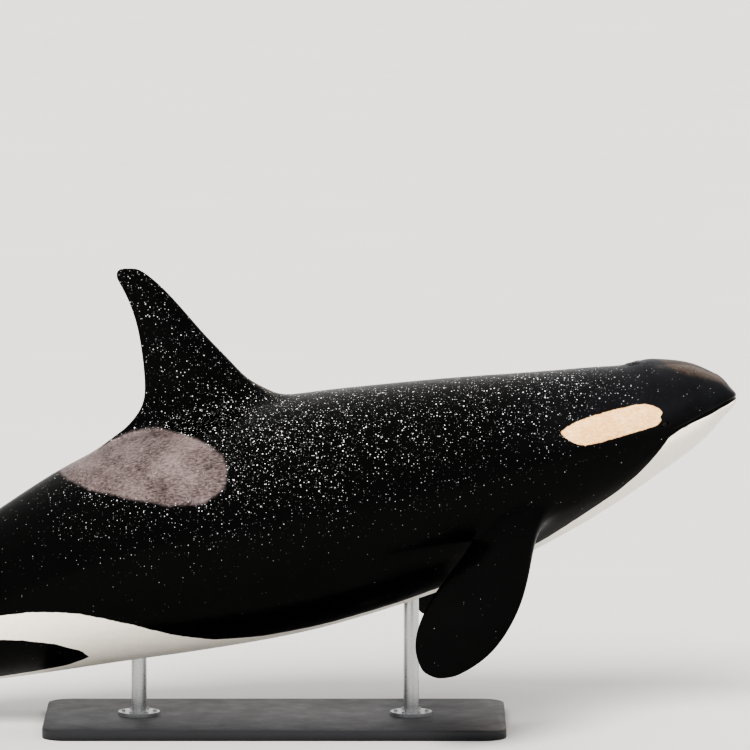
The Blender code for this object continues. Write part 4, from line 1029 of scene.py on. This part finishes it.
def dressed(node, name, shape, material):
    mesh = bpy.data.meshes.new(name)
    shape.to_mesh(mesh)
    shape.free()
    made = newObject(name, mesh, material)
    mesh.set_sharp_from_angle(angle=math.radians(stand["sharpAngle"]))
    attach(made, "root")
    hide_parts(node)


barSteel = brushedSteelMaterial("brushed_stainless_bar", (60.0, 60.0, 900.0))
plateSteel = brushedSteelMaterial("brushed_stainless_plate", (40.0, 900.0, 900.0))
dressed("stand_base", "stand_plinth", joinedCopy("stand_base"), paintedBaseMaterial())
for end in ("front", "rear"):
    dressed("stand_rod_" + end, "stand_bar_" + end, roundBar("stand_rod_" + end), barSteel)
    dressed("stand_flange_" + end, "stand_plate_" + end, joinedCopy("stand_flange_" + end), plateSteel)


def boltTree(material):  # a ring of socket-head screws round a rod
    tree = bpy.data.node_groups.new("flange_bolts", "GeometryNodeTree")
    sizes = {}
    for name, kind, value in (
        ("Count", "NodeSocketInt", stand["boltCount"]), ("Circle", "NodeSocketFloat", stand["boltCircle"]),
        ("Head Radius", "NodeSocketFloat", stand["boltRadius"]),
        ("Head Height", "NodeSocketFloat", stand["boltHeight"]),
        ("Socket Radius", "NodeSocketFloat", stand["socketRadius"]),
    ):
        socket = tree.interface.new_socket(name, in_out="INPUT", socket_type=kind)
        socket.default_value = value
        sizes[name] = socket.identifier
    tree.interface.new_socket("Geometry", in_out="OUTPUT", socket_type="NodeSocketGeometry")
    given = addNode(tree, "NodeGroupInput").outputs
    ring = addNode(tree, "GeometryNodeMeshCircle", {"Vertices": given["Count"], "Radius": given["Circle"]})
    head = addNode(
        tree, "GeometryNodeMeshCylinder",
        {"Vertices": 28, "Radius": given["Head Radius"], "Depth": given["Head Height"]},
    )
    deep = addNode(tree, "ShaderNodeMath", {0: given["Head Height"], 1: 0.7}, operation="MULTIPLY")
    hexagon = addNode(
        tree, "GeometryNodeMeshCylinder", {"Vertices": 6, "Radius": given["Socket Radius"], "Depth": deep.outputs[0]}
    )
    raised = addNode(tree, "ShaderNodeMath", {0: given["Head Height"], 1: 0.35}, operation="MULTIPLY")
    lift = addNode(tree, "ShaderNodeCombineXYZ", {"Z": raised.outputs[0]})
    moved = addNode(
        tree, "GeometryNodeTransform", {"Geometry": hexagon.outputs["Mesh"], "Translation": lift.outputs[0]}
    )
    cut = addNode(
        tree, "GeometryNodeMeshBoolean", {0: head.outputs["Mesh"], 1: moved.outputs[0]}, operation="DIFFERENCE"
    )
    placedHeads = addNode(
        tree, "GeometryNodeInstanceOnPoints", {"Points": ring.outputs["Mesh"], "Instance": cut.outputs["Mesh"]}
    )
    real = addNode(tree, "GeometryNodeRealizeInstances", {0: placedHeads.outputs[0]})
    painted = addNode(tree, "GeometryNodeSetMaterial", {"Geometry": real.outputs[0], "Material": material})
    addNode(tree, "NodeGroupOutput", {0: painted.outputs[0]})
    return tree, sizes


def buildBolts(name, x, material):
    tree, sizes = boltTree(material)
    maker = bpy.data.objects.new("bolt_maker", bpy.data.meshes.new("bolt_maker"))
    scene.collection.objects.link(maker)
    modifier = maker.modifiers.new("bolts", "NODES")
    modifier.node_group = tree
    modifier[sizes["Count"]] = stand["boltCount"]
    modifier[sizes["Circle"]] = stand["boltCircle"]
    mesh = evaluatedMesh(maker)
    bpy.data.objects.remove(maker)
    top = stand["baseHeight"] + stand["flangeHeight"] + stand["boltHeight"] / 2
    mesh.transform(Matrix.Translation((x + shift, 0, top)))
    made = newObject(name, mesh, material)
    mesh.set_sharp_from_angle(angle=math.radians(stand["sharpAngle"]))
    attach(made, "root")
    return made


boltSteel = brushedSteelMaterial("zinc_plated_screw", (500.0, 500.0, 80.0))
buildBolts("flange_bolts_front", stand["frontRod"], boltSteel)
buildBolts("flange_bolts_rear", stand["rearRod"], boltSteel)
print("stage: stand")


# Floor, light and camera

studio = {
    "floorHalf": 420.0, "horizonLight": 0.85, "zenithLight": 1.05, "keyStrength": 4.5, "backStrength": 1.0,
    "framePixels": 750, "pixelsPerMetre": 201.0, "snoutPixel": (737, 395), "elevation": 7.0, "distance": 40.0,
}


def floorMaterial():
    # Matt painted studio floor, pale and even, with hardly any sheen.
    made, tree = newMaterial("matt_studio_paint")
    where = addNode(tree, "ShaderNodeTexCoord").outputs["Object"]
    grain = addNode(tree, "ShaderNodeTexNoise", {"Vector": where, "Scale": 0.6, "Detail": 4.0})
    colour = addNode(
        tree, "ShaderNodeMix", {0: grain.outputs["Fac"], 6: hexColour("#c2c4c6"), 7: hexColour("#cacbcc")},
        data_type="RGBA",
    )
    shader = addNode(
        tree, "ShaderNodeBsdfPrincipled",
        {"Base Color": colour.outputs[2], "Roughness": 0.9, "Specular IOR Level": 0.1},
    )
    addNode(tree, "ShaderNodeOutputMaterial", {"Surface": shader.outputs[0]})
    return made


def buildFloor():
    half = studio["floorHalf"]
    mesh = bpy.data.meshes.new("studio_floor")
    mesh.from_pydata([(-half, -half, 0), (half, -half, 0), (half, half, 0), (-half, half, 0)], [], [(0, 1, 2, 3)])
    newObject("studio_floor", mesh, floorMaterial())


def addSun(name, strength, spread, direction, colour, mirrored):
    lamp = bpy.data.lights.new(name, "SUN")
    lamp.energy, lamp.angle, lamp.color = strength, math.radians(spread), hexColour(colour)[:3]
    made = bpy.data.objects.new(name, lamp)
    made.rotation_euler = Vector(direction).to_track_quat("-Z", "Y").to_euler()
    made.visible_glossy = mirrored
    scene.collection.objects.link(made)


def buildLight():
    world = bpy.data.worlds.new("studio")
    world.use_nodes = True
    tree = world.node_tree
    background = tree.nodes["Background"]
    background.inputs["Color"].default_value = hexColour("#f0efee")
    around = addNode(tree, "ShaderNodeTexCoord").outputs["Generated"]
    parts = addNode(tree, "ShaderNodeSeparateXYZ", {0: around})
    rise = addNode(tree, "ShaderNodeMapRange", {
        "Value": parts.outputs["Z"], "From Min": 0.0, "From Max": 0.8,
        "To Min": studio["horizonLight"], "To Max": studio["zenithLight"],
    })
    tree.links.new(rise.outputs["Result"], background.inputs["Strength"])
    scene.world = world
    addSun("soft_key", studio["keyStrength"], 30.0, (0.25, 0.75, -0.75), "#fff9f0", False)
    addSun("soft_back", studio["backStrength"], 40.0, (-0.42, -0.58, -0.70), "#f4e4d6", True)
    scene.view_settings.look = "AgX - High Contrast"


def buildCamera():
    # the frame's middle lies a set number of pixels from the snout's tip
    tilt = math.radians(studio["elevation"])
    scale = studio["pixelsPerMetre"]
    half = studio["framePixels"] / 2
    right = (half - studio["snoutPixel"][0]) / scale
    lift = (studio["snoutPixel"][1] - half) / scale
    look = Vector((0, math.cos(tilt), -math.sin(tilt)))
    upward = Vector((0, math.sin(tilt), math.cos(tilt)))
    target = Vector((shift, 0, body["snoutHeight"])) + Vector((right, 0, 0)) + upward * lift
    lens = bpy.data.cameras.new("camera")
    lens.sensor_width = 36.0
    lens.lens = lens.sensor_width * studio["distance"] / (studio["framePixels"] / scale)
    lens.clip_end = 2000.0
    made = bpy.data.objects.new("camera", lens)
    made.location = target - look * studio["distance"]
    made.rotation_euler = look.to_track_quat("-Z", "Y").to_euler()
    scene.collection.objects.link(made)
    scene.camera = made


buildFloor()
buildLight()
buildCamera()
print("stage: studio")
